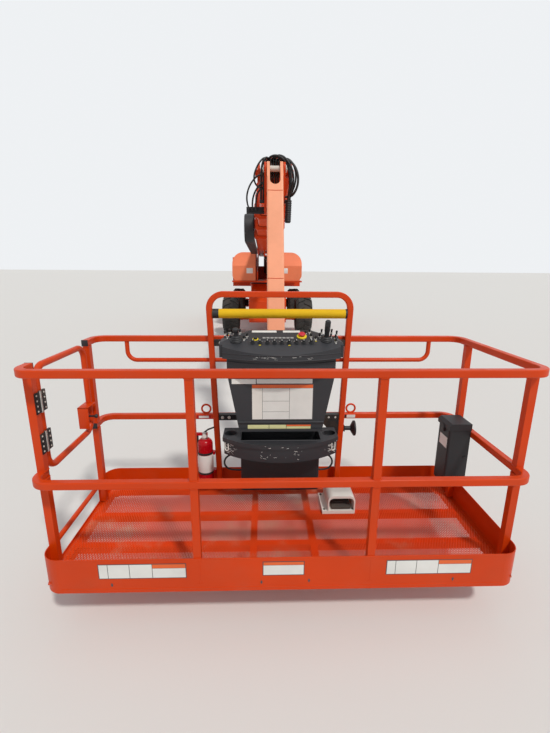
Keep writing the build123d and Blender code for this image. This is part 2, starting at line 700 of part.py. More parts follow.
def make_hood(side):
    y0 = SWING_Y - HOOD_FRONT
    y1 = SWING_Y + COUNTERWEIGHT_FRONT - HOOD_GAP

    def solid(inset):
        bulk = extrude(Pos(0, y1 - inset, 0) * hood_profile(inset), (y1 - y0 - 2 * inset), dir=(0, -1, 0))
        nose = [
            (y0 + inset, DECK_TOP - 10), (y0 + inset, HOOD_CREASE_Z - inset * 0.6),
            (y0 + HOOD_NOSE_SLOPE + inset * 0.6, HOOD_TOP_Z - inset + 0.01),
            (y1 - inset, HOOD_TOP_Z - inset + 0.01),
            (y1 - inset, DECK_TOP - 10),
        ]
        return bulk & yz_plate(nose, HOOD_INNER_X - 10, HOOD_OUTER_X + 10)

    hood = solid(0) - solid(HOOD_SKIN)
    hood += [louvre(k) for k in range(LOUVRE_COUNT)]
    for y in HOOD_HINGES_Y:
        hood += hinge_barrel(y)
    return hood if side > 0 else mirror(hood, about=Plane.YZ)


def section_face(width, height, r=SECTION_CORNER_R):
    return RectangleRounded(width, height, r)


def wear_pads(u0, width, height, thick, inward):
    # four pads on the faces of a section of the given size, one to a side
    pads = Part()
    for across, up in ((1, 0), (-1, 0), (0, 1), (0, -1)):
        reach = (width if across else height) / 2 + (-thick / 2 if inward else thick / 2)
        size = (thick, PAD_WIDTH) if across else (PAD_WIDTH, thick)
        face = Pos(across * reach, up * reach) * Rectangle(*size)
        pads += extrude(boom_place(u0, BOOM_CENTRE_V) * face, PAD_LENGTH)
    return pads


def make_boom_section(index):
    name, width, height, wall, rear, front = BOOM_SECTIONS[index]
    place = boom_place(rear, BOOM_CENTRE_V)
    length = front - rear
    body = extrude(place * section_face(width, height), length)
    body -= extrude(
        place * section_face(width - 2 * wall, height - 2 * wall, SECTION_CORNER_R - wall), length
    )
    gap = 2 * SLIDE_CLEARANCE
    if index < len(BOOM_SECTIONS) - 1:
        inner = BOOM_SECTIONS[index + 1]
        collar_place = boom_place(front - COLLAR_LENGTH, BOOM_CENTRE_V)
        collar = extrude(
            collar_place * section_face(width + COLLAR_PROUD, height + COLLAR_PROUD), COLLAR_LENGTH
        )
        collar -= extrude(collar_place * section_face(inner[1] + gap, inner[2] + gap), COLLAR_LENGTH)
        body += collar
        start = front - COLLAR_LENGTH / 2 - PAD_LENGTH / 2
        body += wear_pads(start, inner[1] + gap + 2, inner[2] + gap + 2, SLIDE_CLEARANCE - SEAT_GAP + 1, True)
    if index > 0:
        outer = BOOM_SECTIONS[index - 1]
        room_w, room_h = outer[1] - 2 * outer[3] - gap, outer[2] - 2 * outer[3] - gap
        foot = extrude(
            place * section_face(room_w, room_h, SECTION_CORNER_R - outer[3] - SLIDE_CLEARANCE), COLLAR_LENGTH
        )
        foot -= extrude(
            place * section_face(width - 2 * wall, height - 2 * wall, SECTION_CORNER_R - wall), COLLAR_LENGTH
        )
        body += foot
        start = rear + COLLAR_LENGTH / 2 - PAD_LENGTH / 2
        body += wear_pads(start, room_w - 2, room_h - 2, SLIDE_CLEARANCE - SEAT_GAP + 1, False)
    return body


def make_boom_base():
    body = make_boom_section(0)
    wall = BOOM_SECTIONS[0][3]
    rear_plate = boom_place(BASE_REAR_U, BOOM_CENTRE_V)
    body += extrude(rear_plate * section_face(BASE_WIDTH, BASE_HEIGHT), wall)
    body += rod_x(PIVOT_Y, PIVOT_Z, PIVOT_R, -UPRIGHT_OUTER_X - 16, UPRIGHT_OUTER_X + 16)
    body += both_sides(
        lambda s: rod_x(PIVOT_Y, PIVOT_Z, 120, s * (BASE_WIDTH / 2 - 1), s * (UPRIGHT_INNER_X - 1))
    )
    eye_y, eye_z = boom_point(CYL_EYE_U, CYL_EYE_V)
    low_v = BOOM_CENTRE_V - BASE_HEIGHT / 2

    def lug(side):
        back_y, back_z = boom_point(CYL_EYE_U - 150, low_v + 4)
        fore_y, fore_z = boom_point(CYL_EYE_U + 150, low_v + 4)
        rounds = [(eye_y, eye_z, 70), (back_y, back_z, 4), (fore_y, fore_z, 4)]
        return web_plate(rounds, side * (CYL_EYE_WIDTH / 2 + 1), side * (CYL_EYE_WIDTH / 2 + 31))

    body += both_sides(lug)
    clip_v = TRACK_HIGH_V + TRACK_CHAIN / 2 + SEAT_GAP + TRACK_CLIP_THICK / 2
    clip_x0 = BASE_WIDTH / 2 - wall / 2
    clip_x1 = BASE_WIDTH / 2 + TRACK_WIDTH / 2
    clip_face = Pos((clip_x0 + clip_x1) / 2, 0) * Rectangle(clip_x1 - clip_x0, TRACK_CLIP_THICK)
    body += extrude(boom_place(TRACK_FRONT_U - 2 * TRACK_CLIP, clip_v) * clip_face, 2 * TRACK_CLIP)
    return body + stub_pins(eye_y, eye_z, CYL_PIN_R, CYL_EYE_WIDTH / 2 + 1, CYL_EYE_WIDTH / 2 + 45)


def make_boom_fly():
    body = make_boom_section(3)
    front = BOOM_SECTIONS[3][5]
    top_y, top_z = boom_point(front - 100, BOOM_CENTRE_V + 150)
    low_y, low_z = boom_point(front - 100, BOOM_CENTRE_V - 150)
    inner_x = NOSE_CHEEK_X

    def cheek(side):
        rounds = [(NOSE_Y, NOSE_Z, 85), (top_y, top_z, 30), (low_y, low_z, 30)]
        return web_plate(rounds, side * inner_x, side * (inner_x + NOSE_CHEEK))

    _, width, height, wall, _, _ = BOOM_SECTIONS[3]
    cap = extrude(boom_place(front, BOOM_CENTRE_V) * section_face(width, height), wall + 6)
    body += cap
    body += both_sides(cheek)
    reach = inner_x + NOSE_CHEEK + 20
    body += rod_x(NOSE_Y, NOSE_Z, NOSE_PIN_R, -reach, reach)
    return body


def make_power_track():
    # the carrier chain on the boom's left side: a long lower run, a turn at the front, an upper run
    across = (BASE_WIDTH + COLLAR_PROUD) / 2 + SEAT_GAP + TRACK_WIDTH / 2
    link = RectangleRounded(TRACK_WIDTH, TRACK_CHAIN, TRACK_CORNER_R)
    neck_size = (TRACK_WIDTH - 2 * TRACK_NECK, TRACK_CHAIN - 2 * TRACK_NECK)
    neck = RectangleRounded(*neck_size, TRACK_CORNER_R - TRACK_NECK)
    chain = Part()
    for v, rear in ((TRACK_LOW_V, TRACK_REAR_U), (TRACK_HIGH_V, TRACK_TOP_REAR_U)):
        chain += extrude(boom_place(rear, v) * Pos(across, 0) * neck, TRACK_FRONT_U - rear)
        count = int((TRACK_FRONT_U - rear) / TRACK_PITCH)
        starts = [TRACK_FRONT_U - (k + 1) * TRACK_PITCH for k in range(count)]
        chain += [extrude(boom_place(u, v) * Pos(across, 0) * link, TRACK_LINK) for u in starts]
    mid_y, mid_z = boom_point(TRACK_FRONT_U, (TRACK_LOW_V + TRACK_HIGH_V) / 2)
    turn = Axis((0, mid_y, mid_z), (-1, 0, 0))
    return chain + revolve(boom_place(TRACK_FRONT_U, TRACK_LOW_V) * Pos(across, 0) * link, turn, 180)


def cylinder_line(a, b):
    return hypot(b[0] - a[0], b[1] - a[1])


def make_lift_barrel():
    a = (CYL_FOOT_Y, CYL_FOOT_Z)
    b = boom_point(CYL_EYE_U, CYL_EYE_V)
    length = cylinder_line(a, b)
    dy, dz = (b[0] - a[0]) / length, (b[1] - a[1]) / length
    head = length - CYL_HEAD_GAP
    start = CYL_LUG_R + 25
    body = bar(
        (0, a[0] + dy * start, a[1] + dz * start), (0, a[0] + dy * head, a[1] + dz * head), CYL_BARREL_R
    )
    body += rod_x(a[0], a[1], CYL_EYE_R, -CYL_EYE_WIDTH / 2, CYL_EYE_WIDTH / 2)
    body += bar((0, a[0], a[1]), (0, a[0] + dy * (start + 5), a[1] + dz * (start + 5)), CYL_ROD_R)
    body -= rod_x(a[0], a[1], CYL_PIN_R + PIN_CLEARANCE, -CYL_BARREL_R, CYL_BARREL_R)
    bore0 = CYL_EYE_R + 60
    body -= bar(
        (0, a[0] + dy * bore0, a[1] + dz * bore0), (0, a[0] + dy * (head + 5), a[1] + dz * (head + 5)),
        CYL_ROD_R + PIN_CLEARANCE
    )
    return body


def make_lift_rod():
    a = (CYL_FOOT_Y, CYL_FOOT_Z)
    b = boom_point(CYL_EYE_U, CYL_EYE_V)
    length = cylinder_line(a, b)
    dy, dz = (b[0] - a[0]) / length, (b[1] - a[1]) / length
    start = CYL_EYE_R + 70
    end = length - CYL_EYE_R + 8
    body = bar((0, a[0] + dy * start, a[1] + dz * start), (0, a[0] + dy * end, a[1] + dz * end), CYL_ROD_R)
    body += rod_x(b[0], b[1], CYL_EYE_R - 4, -CYL_EYE_WIDTH / 2, CYL_EYE_WIDTH / 2)
    body -= rod_x(b[0], b[1], CYL_PIN_R + PIN_CLEARANCE, -CYL_BARREL_R, CYL_BARREL_R)
    return body


JIB_CYL_FOOT = (JIB_TOP_Y + JIB_CYL_BACK, JIB_TOP_Z - JIB_CYL_DROP)
JIB_CYL_EYE = jib_point(JIB_CYL_EYE_ALONG, JIB_CYL_EYE_OFF)
LINK_TOP = (JIB_TOP_Y + LINK_BACK, JIB_TOP_Z - LINK_DROP)
LINK_FOOT = (JIB_FOOT_Y + LINK_BACK, JIB_FOOT_Z - LINK_DROP)
NOSE_PLATE_X = JIB_WIDTH / 2 + NOSE_GAP + NOSE_PLATE


def link_pin(centre, side):
    # a stub pin for one of the two level links, on the inner face of its plate
    return rod_x(
        centre[0], centre[1], LINK_PIN_R, side * (LINK_INNER_X - LINK_PIN_PROUD),
        side * (NOSE_PLATE_X - NOSE_PLATE / 2)
    )


def make_nose():
    inner_x = JIB_WIDTH / 2 + NOSE_GAP
    outer_x = inner_x + NOSE_PLATE

    def plate(side):
        rounds = [
            (JIB_TOP_Y, JIB_TOP_Z, 58), (NOSE_Y, NOSE_Z, 70), (JIB_CYL_FOOT[0], JIB_CYL_FOOT[1], 48),
            (LINK_TOP[0], LINK_TOP[1], 44),
        ]
        return web_plate(rounds, side * inner_x, side * outer_x)

    body = both_sides(plate)
    body -= rod_x(NOSE_Y, NOSE_Z, NOSE_PIN_R + PIN_CLEARANCE, -outer_x - 1, outer_x + 1)
    body += rod_x(JIB_TOP_Y, JIB_TOP_Z, JIB_PIN_R, -outer_x - 3, outer_x + 3)
    body += rod_x(JIB_CYL_FOOT[0], JIB_CYL_FOOT[1], JIB_CYL_PIN_R, -outer_x - 3, outer_x + 3)
    body += both_sides(lambda s: link_pin(LINK_TOP, s))
    plate_y = JIB_TOP_Y + HOSE_PLATE_BACK
    low = JIB_TOP_Z + HOSE_PLATE_LOW
    return body + block(-outer_x, outer_x, plate_y, plate_y + HOSE_PLATE, low, JIB_TOP_Z + HOSE_PLATE_HIGH)


def fork_slot(end):
    # the round-bottomed cut between the fork's cheeks; end is 1 at the upper pin, -1 at the foot
    centre = JIB_FORK_DEPTH - JIB_FORK_WIDTH / 2
    y, z = jib_point(centre if end > 0 else JIB_LENGTH - centre, 0)
    place = Plane(origin=(0, y, z), x_dir=(1, 0, 0), z_dir=(0, sin(DROP), -cos(DROP)))
    cut = Circle(JIB_FORK_WIDTH / 2) + Pos(0, -end * centre / 2) * Rectangle(JIB_FORK_WIDTH, centre)
    return extrude(place * cut, JIB_DEPTH, both=True)


def make_jib_arm():
    body = extrude(
        jib_place(JIB_CHEEK_FROM) * RectangleRounded(JIB_WIDTH, JIB_DEPTH, JIB_CORNER_R),
        JIB_LENGTH - 2 * JIB_CHEEK_FROM
    )
    hollow = JIB_FORK_DEPTH + JIB_FORK_WEB
    inside = RectangleRounded(JIB_WIDTH - 2 * JIB_WALL, JIB_DEPTH - 2 * JIB_WALL, JIB_CORNER_R - JIB_WALL)
    body -= extrude(jib_place(hollow) * inside, JIB_LENGTH - 2 * hollow)
    body -= fork_slot(1)
    body -= fork_slot(-1)
    ends = [((JIB_TOP_Y, JIB_TOP_Z), JIB_CHEEK_FROM), ((JIB_FOOT_Y, JIB_FOOT_Z), JIB_LENGTH - JIB_CHEEK_FROM)]
    for (y, z), along in ends:
        y0, z0 = jib_point(along, -JIB_DEPTH / 2 + 20)
        y1, z1 = jib_point(along, JIB_DEPTH / 2 - 20)
        rounds = [(y, z, JIB_EAR_R), (y0, z0, 20), (y1, z1, 20)]
        body += both_sides(lambda s: web_plate(rounds, s * JIB_FORK_WIDTH / 2, s * JIB_WIDTH / 2))
        body -= rod_x(y, z, JIB_PIN_R + PIN_CLEARANCE, -JIB_WIDTH, JIB_WIDTH)
    eye_y, eye_z = JIB_CYL_EYE

    def lug(side):
        y0, z0 = jib_point(JIB_CYL_EYE_ALONG - 70, JIB_DEPTH / 2 - 6)
        y1, z1 = jib_point(JIB_CYL_EYE_ALONG + 70, JIB_DEPTH / 2 - 6)
        x0 = side * (JIB_CYL_EYE_WIDTH / 2 + 1)
        return web_plate([(eye_y, eye_z, 36), (y0, z0, 5), (y1, z1, 5)], x0, x0 + side * JIB_LUG_THICK)

    body += both_sides(lug)
    pin_x0 = JIB_CYL_EYE_WIDTH / 2 + 1
    return body + stub_pins(eye_y, eye_z, JIB_CYL_PIN_R, pin_x0, pin_x0 + JIB_LUG_THICK + 6)


def make_jib_barrel():
    a, b = JIB_CYL_FOOT, JIB_CYL_EYE
    length = cylinder_line(a, b)
    dy, dz = (b[0] - a[0]) / length, (b[1] - a[1]) / length
    head = length - JIB_CYL_HEAD_GAP
    start = JIB_CYL_EYE_R - 8
    body = bar((0, a[0] + dy * start, a[1] + dz * start), (0, a[0] + dy * head, a[1] + dz * head), JIB_CYL_R)
    body += rod_x(a[0], a[1], JIB_CYL_EYE_R, -JIB_CYL_EYE_WIDTH / 2, JIB_CYL_EYE_WIDTH / 2)
    body -= rod_x(a[0], a[1], JIB_CYL_PIN_R + PIN_CLEARANCE, -JIB_CYL_EYE_WIDTH, JIB_CYL_EYE_WIDTH)
    bore0 = JIB_CYL_EYE_R + 20
    body -= bar(
        (0, a[0] + dy * bore0, a[1] + dz * bore0), (0, a[0] + dy * (head + 5), a[1] + dz * (head + 5)),
        JIB_CYL_ROD_R + PIN_CLEARANCE
    )
    return body


def make_jib_rod():
    a, b = JIB_CYL_FOOT, JIB_CYL_EYE
    length = cylinder_line(a, b)
    dy, dz = (b[0] - a[0]) / length, (b[1] - a[1]) / length
    start = JIB_CYL_EYE_R + 26
    end = length - JIB_CYL_EYE_R + 10
    body = bar(
        (0, a[0] + dy * start, a[1] + dz * start), (0, a[0] + dy * end, a[1] + dz * end), JIB_CYL_ROD_R
    )
    body += rod_x(b[0], b[1], JIB_CYL_EYE_R - 6, -JIB_CYL_EYE_WIDTH / 2, JIB_CYL_EYE_WIDTH / 2)
    body -= rod_x(b[0], b[1], JIB_CYL_PIN_R + PIN_CLEARANCE, -JIB_CYL_EYE_WIDTH, JIB_CYL_EYE_WIDTH)
    return body


def make_level_link():
    # two flat bars behind the jib that keep the platform level as the jib swings
    def link(side):
        x0, x1 = side * LINK_INNER_X, side * (LINK_INNER_X + LINK_BAR_THICK)
        body = web_plate([(*LINK_TOP, LINK_BAR_DEPTH / 2), (*LINK_FOOT, LINK_BAR_DEPTH / 2)], x0, x1)
        for y, z in (LINK_TOP, LINK_FOOT):
            body += rod_x(y, z, LINK_EYE_R, x0, x1)
            body -= rod_x(y, z, LINK_PIN_R + PIN_CLEARANCE, x0 - side, x1 + side)
        return body

    return both_sides(link)


def make_platform_mount():
    inner_x = JIB_WIDTH / 2 + NOSE_GAP
    outer_x = inner_x + NOSE_PLATE
    zc0 = ROTATOR_Z0 + 40
    zc1 = ROTATOR_Z1 - 40
    back_y = ROTATOR_Y + ROTATOR_R - 10

    def plate(side):
        rounds = [(JIB_FOOT_Y, JIB_FOOT_Z, 58), (*LINK_FOOT, 44), (back_y, zc0, 30), (back_y, zc1, 30)]
        return web_plate(rounds, side * inner_x, side * outer_x)

    body = both_sides(plate)
    body += rod_z(0, ROTATOR_Y, ROTATOR_R, ROTATOR_Z0, ROTATOR_Z1)
    body += rod_x(JIB_FOOT_Y, JIB_FOOT_Z, JIB_PIN_R, -outer_x - 3, outer_x + 3)
    body += both_sides(lambda s: link_pin(LINK_FOOT, s))
    body -= rod_z(0, ROTATOR_Y, ROTATOR_SHAFT_R + PIN_CLEARANCE, ROTATOR_Z0 - 1, ROTATOR_Z1 + 1)
    return body


def make_carrier():
    body = rod_z(0, ROTATOR_Y, ROTATOR_SHAFT_R, ROTATOR_Z0 - 20, ROTATOR_Z1 + 20)
    front = PLATFORM_REAR_Y + SEAT_GAP
    for z0 in (ROTATOR_Z0 - CARRIER_GAP - CARRIER_PLATE, ROTATOR_Z1 + CARRIER_GAP):
        body += rod_z(0, ROTATOR_Y, ROTATOR_R, z0, z0 + CARRIER_PLATE)
        body += block(-ROTATOR_R, ROTATOR_R, front, ROTATOR_Y, z0, z0 + CARRIER_PLATE)
    low = FLOOR_Z
    body += block(
        -ROTATOR_R - 40, ROTATOR_R + 40, front, front + 60, low, ROTATOR_Z1 + CARRIER_GAP + CARRIER_PLATE
    )
    return body


def rail_path(z, start_y, end_y):
    # the rail's run round the platform, from the gate's front post to its rear post
    half = PLATFORM_WIDTH / 2 - RAIL / 2
    y0 = PLATFORM_FRONT_Y + RAIL / 2
    y1 = PLATFORM_REAR_Y - RAIL / 2
    points = [
        (-half, start_y, z), (-half, y0, z), (half, y0, z), (half, y1, z), (-half, y1, z), (-half, end_y, z)
    ]
    return FilletPolyline(*points, radius=RAIL_BEND_R)


def make_rail(z_top):
    z = FLOOR_Z + z_top - RAIL / 2
    path = rail_path(z, PLATFORM_FRONT_Y + POST_FRONT_Y + RAIL / 2, PLATFORM_FRONT_Y + POST_REAR_Y - RAIL / 2)
    face = Plane(origin=path @ 0, z_dir=path % 0) * RectangleRounded(RAIL, RAIL, RAIL_WALL_R)
    return sweep(face, path=path)


def ring_eye(side):
    # a lanyard ring that stands on the rear mid rail
    y = PLATFORM_REAR_Y - RAIL / 2
    z = FLOOR_Z + MID_RAIL_Z
    half = RING_FOOT / 2
    foot = block(
        side * RING_EYE_X - half, side * RING_EYE_X + half, y - half / 2, y + half / 2, z - 1,
        z + RING_EYE_BAR_R
    )
    ring = Pos(side * RING_EYE_X, y, z + RING_EYE_R + RING_EYE_BAR_R / 2) * Rot(90, 0, 0) * Torus(
        RING_EYE_R, RING_EYE_BAR_R
    )
    return foot + ring


def make_mid_rail():
    return make_rail(MID_RAIL_Z) + ring_eye(1) + ring_eye(-1)


def make_kick_plate():
    half = PLATFORM_WIDTH / 2
    y0, y1 = PLATFORM_FRONT_Y, PLATFORM_REAR_Y
    outer = Pos(0, (y0 + y1) / 2, FLOOR_Z) * RectangleRounded(2 * half, y1 - y0, RAIL_BEND_R + RAIL / 2)
    inner = Pos(0, (y0 + y1) / 2, FLOOR_Z) * RectangleRounded(
        2 * half - 2 * KICK_SHEET, y1 - y0 - 2 * KICK_SHEET, RAIL_BEND_R + RAIL / 2 - KICK_SHEET
    )
    body = extrude(outer, KICK_HEIGHT) - extrude(inner, KICK_HEIGHT)
    gate = block(
        -half - 1, -half + 100, y0 + POST_FRONT_Y + RAIL / 2 + 10, y0 + POST_REAR_Y - RAIL / 2 - 10,
        FLOOR_Z + 60, FLOOR_Z + KICK_HEIGHT + 1
    )
    return body - gate


POST_TABLE = [
    # x, y from the platform's front
    (-PLATFORM_WIDTH / 2 + RAIL / 2, POST_FRONT_Y), (-PLATFORM_WIDTH / 2 + RAIL / 2, POST_REAR_Y),
    (PLATFORM_WIDTH / 2 - RAIL / 2, POST_FRONT_Y), (PLATFORM_WIDTH / 2 - RAIL / 2, POST_REAR_Y),
    (-MID_POST_X, RAIL / 2), (MID_POST_X, RAIL / 2),
]


def make_posts():
    posts = Part()
    for x, y in POST_TABLE:
        y = PLATFORM_FRONT_Y + y
        inward = KICK_SHEET
        sx = x + (inward if x < -MID_POST_X - 1 else -inward if x > MID_POST_X + 1 else 0)
        sy = y + (inward if abs(abs(x) - MID_POST_X) < 1 else 0)
        low = FLOOR_Z + FLOOR_TUBE + MESH_THICK
        for z0, z1 in (
            (low, FLOOR_Z + MID_RAIL_Z - RAIL), (FLOOR_Z + MID_RAIL_Z, FLOOR_Z + TOP_RAIL_Z - RAIL)
        ):
            posts += block(sx - RAIL / 2, sx + RAIL / 2, sy - RAIL / 2, sy + RAIL / 2, z0, z1)
    sill_x = -PLATFORM_WIDTH / 2 + RAIL / 2 + KICK_SHEET
    sill_ends = (PLATFORM_FRONT_Y + POST_FRONT_Y, PLATFORM_FRONT_Y + POST_REAR_Y)
    posts += bar(*[(sill_x, y, FLOOR_Z + SILL_Z) for y in sill_ends], SILL_R)
    return posts


def make_floor_frame():
    half = PLATFORM_WIDTH / 2 - KICK_SHEET
    y0, y1 = PLATFORM_FRONT_Y + KICK_SHEET, PLATFORM_REAR_Y - KICK_SHEET
    r = RAIL_BEND_R + RAIL / 2 - KICK_SHEET
    z = FLOOR_Z
    outer = Pos(0, (y0 + y1) / 2, z) * RectangleRounded(2 * half, y1 - y0, r)
    t = FLOOR_TUBE
    inner = Pos(0, (y0 + y1) / 2, z) * RectangleRounded(2 * half - 2 * t, y1 - y0 - 2 * t, r - t)
    body = extrude(outer, t) - extrude(inner, t)
    for y in (300.0, 585.0):
        body += block(-half + 10, half - 10, PLATFORM_FRONT_Y + y - 20, PLATFORM_FRONT_Y + y + 20, z, z + t)
    for x in (-164.0, 185.0):
        body += block(x - 20, x + 20, y0 + 10, y1 - 10, z, z + t)
    return body


def make_floor_mesh():
    half = PLATFORM_WIDTH / 2 - KICK_SHEET
    y0, y1 = PLATFORM_FRONT_Y + KICK_SHEET, PLATFORM_REAR_Y - KICK_SHEET
    r = RAIL_BEND_R + RAIL / 2 - KICK_SHEET
    return extrude(Pos(0, (y0 + y1) / 2, DECK_Z) * RectangleRounded(2 * half, y1 - y0, r), MESH_THICK)


def make_rear_hoop():
    # a long shallow loop of round tube, hung under the rear top rail
    y = PLATFORM_REAR_Y - RAIL / 2
    z1 = FLOOR_Z + TOP_RAIL_Z - RAIL
    z0 = z1 - HOOP_DROP + HOOP_TUBE_R
    half = HOOP_HALF_WIDTH
    path = FilletPolyline((-half, y, z1), (-half, y, z0), (half, y, z0), (half, y, z1), radius=HOOP_BEND_R)
    return sweep(Plane(origin=path @ 0, z_dir=path % 0) * Circle(HOOP_TUBE_R), path=path)


def hoop_half(z):
    # half the centre hoop's outer width, at a height above the platform's bottom
    return CENTRE_HOOP_FOOT_HALF + (CENTRE_HOOP_HALF_WIDTH - CENTRE_HOOP_FOOT_HALF) * z / CENTRE_HOOP_TOP


HOOP_Y = PLATFORM_REAR_Y - RAIL - RAIL / 2


def horn():
    # the warning horn's bell, on the centre hoop's right leg
    leg = hoop_half(HORN_Z) - RAIL / 2
    with BuildSketch(Plane.XZ) as bell:
        with BuildLine():
            Polyline(
                (leg, 0), (leg, HORN_THROAT_R), (HORN_X - HORN_DEPTH / 3, HORN_THROAT_R), (HORN_X, HORN_R),
                (HORN_X + HORN_RIM, HORN_R), (HORN_X + HORN_RIM, 0), close=True,
            )
        make_face()
    return Pos(0, HOOP_Y, FLOOR_Z + HORN_Z) * revolve(bell.sketch, Axis.X)


def make_centre_hoop():
    low = FLOOR_TUBE + MESH_THICK
    top = CENTRE_HOOP_TOP - RAIL / 2
    corners = [(low, -1), (top, -1), (top, 1), (low, 1)]
    points = [(side * (hoop_half(z) - RAIL / 2), HOOP_Y, FLOOR_Z + z) for z, side in corners]
    path = FilletPolyline(*points, radius=CENTRE_HOOP_BEND_R)
    hoop = sweep(
        Plane(origin=path @ 0, z_dir=path % 0) * RectangleRounded(RAIL, RAIL, RAIL_WALL_R), path=path
    )
    foot = points[0][2]
    hoop -= block(-PLATFORM_WIDTH, PLATFORM_WIDTH, HOOP_Y - RAIL, HOOP_Y + RAIL, foot - RAIL, foot)
    return hoop + horn()


def make_grab_bar():
    half = hoop_half(GRAB_BAR_Z) - RAIL - SEAT_GAP - 1
    return rod_x(HOOP_Y, FLOOR_Z + GRAB_BAR_Z, GRAB_BAR_R, -half, half)


def platform_block(x0, x1, y0, y1, z0, z1):
    # a block given by sizes from the platform's front and bottom
    return block(x0, x1, PLATFORM_FRONT_Y + y0, PLATFORM_FRONT_Y + y1, FLOOR_Z + z0, FLOOR_Z + z1)


def bowed_plan(half, back_y, end_y, mid_y):
    # a plan outline whose front edge bows towards the platform's front
    with BuildSketch(Plane.XY) as plan:
        with BuildLine():
            Line((-half, end_y), (-half, back_y))
            Line((-half, back_y), (half, back_y))
            Line((half, back_y), (half, end_y))
            ThreePointArc((half, end_y), (0, mid_y), (-half, end_y))
        make_face()
    return Pos(0, PLATFORM_FRONT_Y, FLOOR_Z) * plan.sketch


PANEL_RUN = CONSOLE_BACK_Y - CONSOLE_LIP_MID_Y
PANEL_RISE = CONSOLE_TOP_Z - CONSOLE_LIP_Z


def panel_z(y):
    # the height of the console's sloping panel at a depth from the platform's front
    return CONSOLE_LIP_Z + PANEL_RISE * (y - CONSOLE_LIP_MID_Y) / PANEL_RUN


def make_console():
    half = CONSOLE_WIDTH / 2
    lip_half = CONSOLE_LIP_WIDTH / 2
    band_z = CONSOLE_LIP_Z - CONSOLE_BAND
    head = extrude(
        Pos(0, 0, band_z) * bowed_plan(lip_half, CONSOLE_BACK_Y, CONSOLE_LIP_END_Y, CONSOLE_LIP_MID_Y),
        2 * CONSOLE_BAND + PANEL_RISE
    )
    head += platform_block(
        -half, half, CONSOLE_LIP_END_Y + CONSOLE_TUCK, CONSOLE_BACK_Y, band_z, CONSOLE_TOP_Z
    )
    slope = [
        (CONSOLE_LIP_MID_Y - 1, panel_z(CONSOLE_LIP_MID_Y - 1)), (CONSOLE_BACK_Y, CONSOLE_TOP_Z),
        (CONSOLE_BACK_Y, band_z), (CONSOLE_LIP_MID_Y - 1, band_z),
    ]
    head &= yz_plate([(PLATFORM_FRONT_Y + y, FLOOR_Z + z) for y, z in slope], -half, half)
    crown = CONSOLE_CROWN_WIDTH / 2
    with BuildSketch(Plane.XZ) as front:
        with BuildLine():
            Polyline(
                (-half, band_z), (half, band_z), (half, CONSOLE_SHOULDER_Z), (crown, CONSOLE_TOP_Z),
                (-crown, CONSOLE_TOP_Z), (-half, CONSOLE_SHOULDER_Z), close=True,
            )
        make_face()
    head &= extrude(
        Pos(0, PLATFORM_FRONT_Y + CONSOLE_BACK_Y, FLOOR_Z) * front.sketch, CONSOLE_BACK_Y, dir=(0, -1, 0)
    )
    tuck = CONSOLE_TUCK
    low = bowed_plan(lip_half - tuck, CONSOLE_BACK_Y, CONSOLE_LIP_END_Y + tuck, CONSOLE_LIP_MID_Y + tuck)
    return head + extrude(Pos(0, 0, CONSOLE_FOOT_Z) * low, band_z - CONSOLE_FOOT_Z + 1)


CONTROL_TABLE = [
    # kind, x, depth from the platform's front
    ("knob", -170.0, 602.0), ("knob", -127.0, 600.0), ("knob", -84.0, 600.0), ("knob", -41.0, 598.0),
    ("knob", 2.0, 598.0), ("knob", 45.0, 598.0), ("knob", 88.0, 600.0), ("knob", 131.0, 600.0),
    ("knob", 176.0, 602.0),
    ("toggle", -300.0, 640.0), ("toggle", 180.0, 665.0), ("toggle", 322.0, 610.0),
    ("stop", 125.0, 668.0), ("stick", -268.0, 625.0), ("handle", 268.0, 628.0),
]
# radius and height of each round step of a control, from the panel up
CONTROL_STEPS = {
    "knob": [(13.0, 8.0), (9.0, 14.0)],
    "toggle": [(8.0, 6.0), (4.0, 16.0)],
    "stop": [(30.0, 8.0), (22.0, 18.0)],
    "stick": [(38.0, 10.0), (30.0, 14.0), (22.0, 14.0), (14.0, 20.0), (19.0, 26.0)],
    "handle": [(34.0, 12.0), (25.0, 16.0), (11.0, 55.0), (17.0, 52.0)],
}


def make_controls():
    # knobs, switches, the red stop button and the two joysticks, standing on the sloping panel
    tilt = Vector(0, -PANEL_RISE, PANEL_RUN).normalized()
    controls = Part()
    for kind, x, y in CONTROL_TABLE:
        place = Plane(
            origin=(x, PLATFORM_FRONT_Y + y, FLOOR_Z + panel_z(y)), x_dir=(1, 0, 0),
            z_dir=(0, tilt.Y, tilt.Z),
        )
        height = 0.0
        stack = Part()
        for r, step in CONTROL_STEPS[kind]:
            stack += place * Pos(0, 0, height + step / 2) * Cylinder(r, step)
            height += step
        controls += stack
    return controls


def make_label_box():
    half = LABEL_TOP_WIDTH / 2
    foot = LABEL_FOOT_WIDTH / 2
    with BuildSketch(Plane.XZ) as face:
        with BuildLine():
            Polyline(
                (-half, CONSOLE_FOOT_Z), (half, CONSOLE_FOOT_Z), (foot, LABEL_FOOT_Z),
                (-foot, LABEL_FOOT_Z), close=True
            )
        make_face()
    depth = CONSOLE_BACK_Y - LABEL_FRONT_Y
    body = extrude(Pos(0, PLATFORM_FRONT_Y + CONSOLE_BACK_Y, FLOOR_Z) * face.sketch, depth, dir=(0, -1, 0))
    lip = platform_block(
        -foot, foot, LABEL_FRONT_Y - LABEL_LIP, LABEL_FRONT_Y + 1, LABEL_FOOT_Z, LABEL_FOOT_Z + LABEL_LIP
    )
    return body + lip


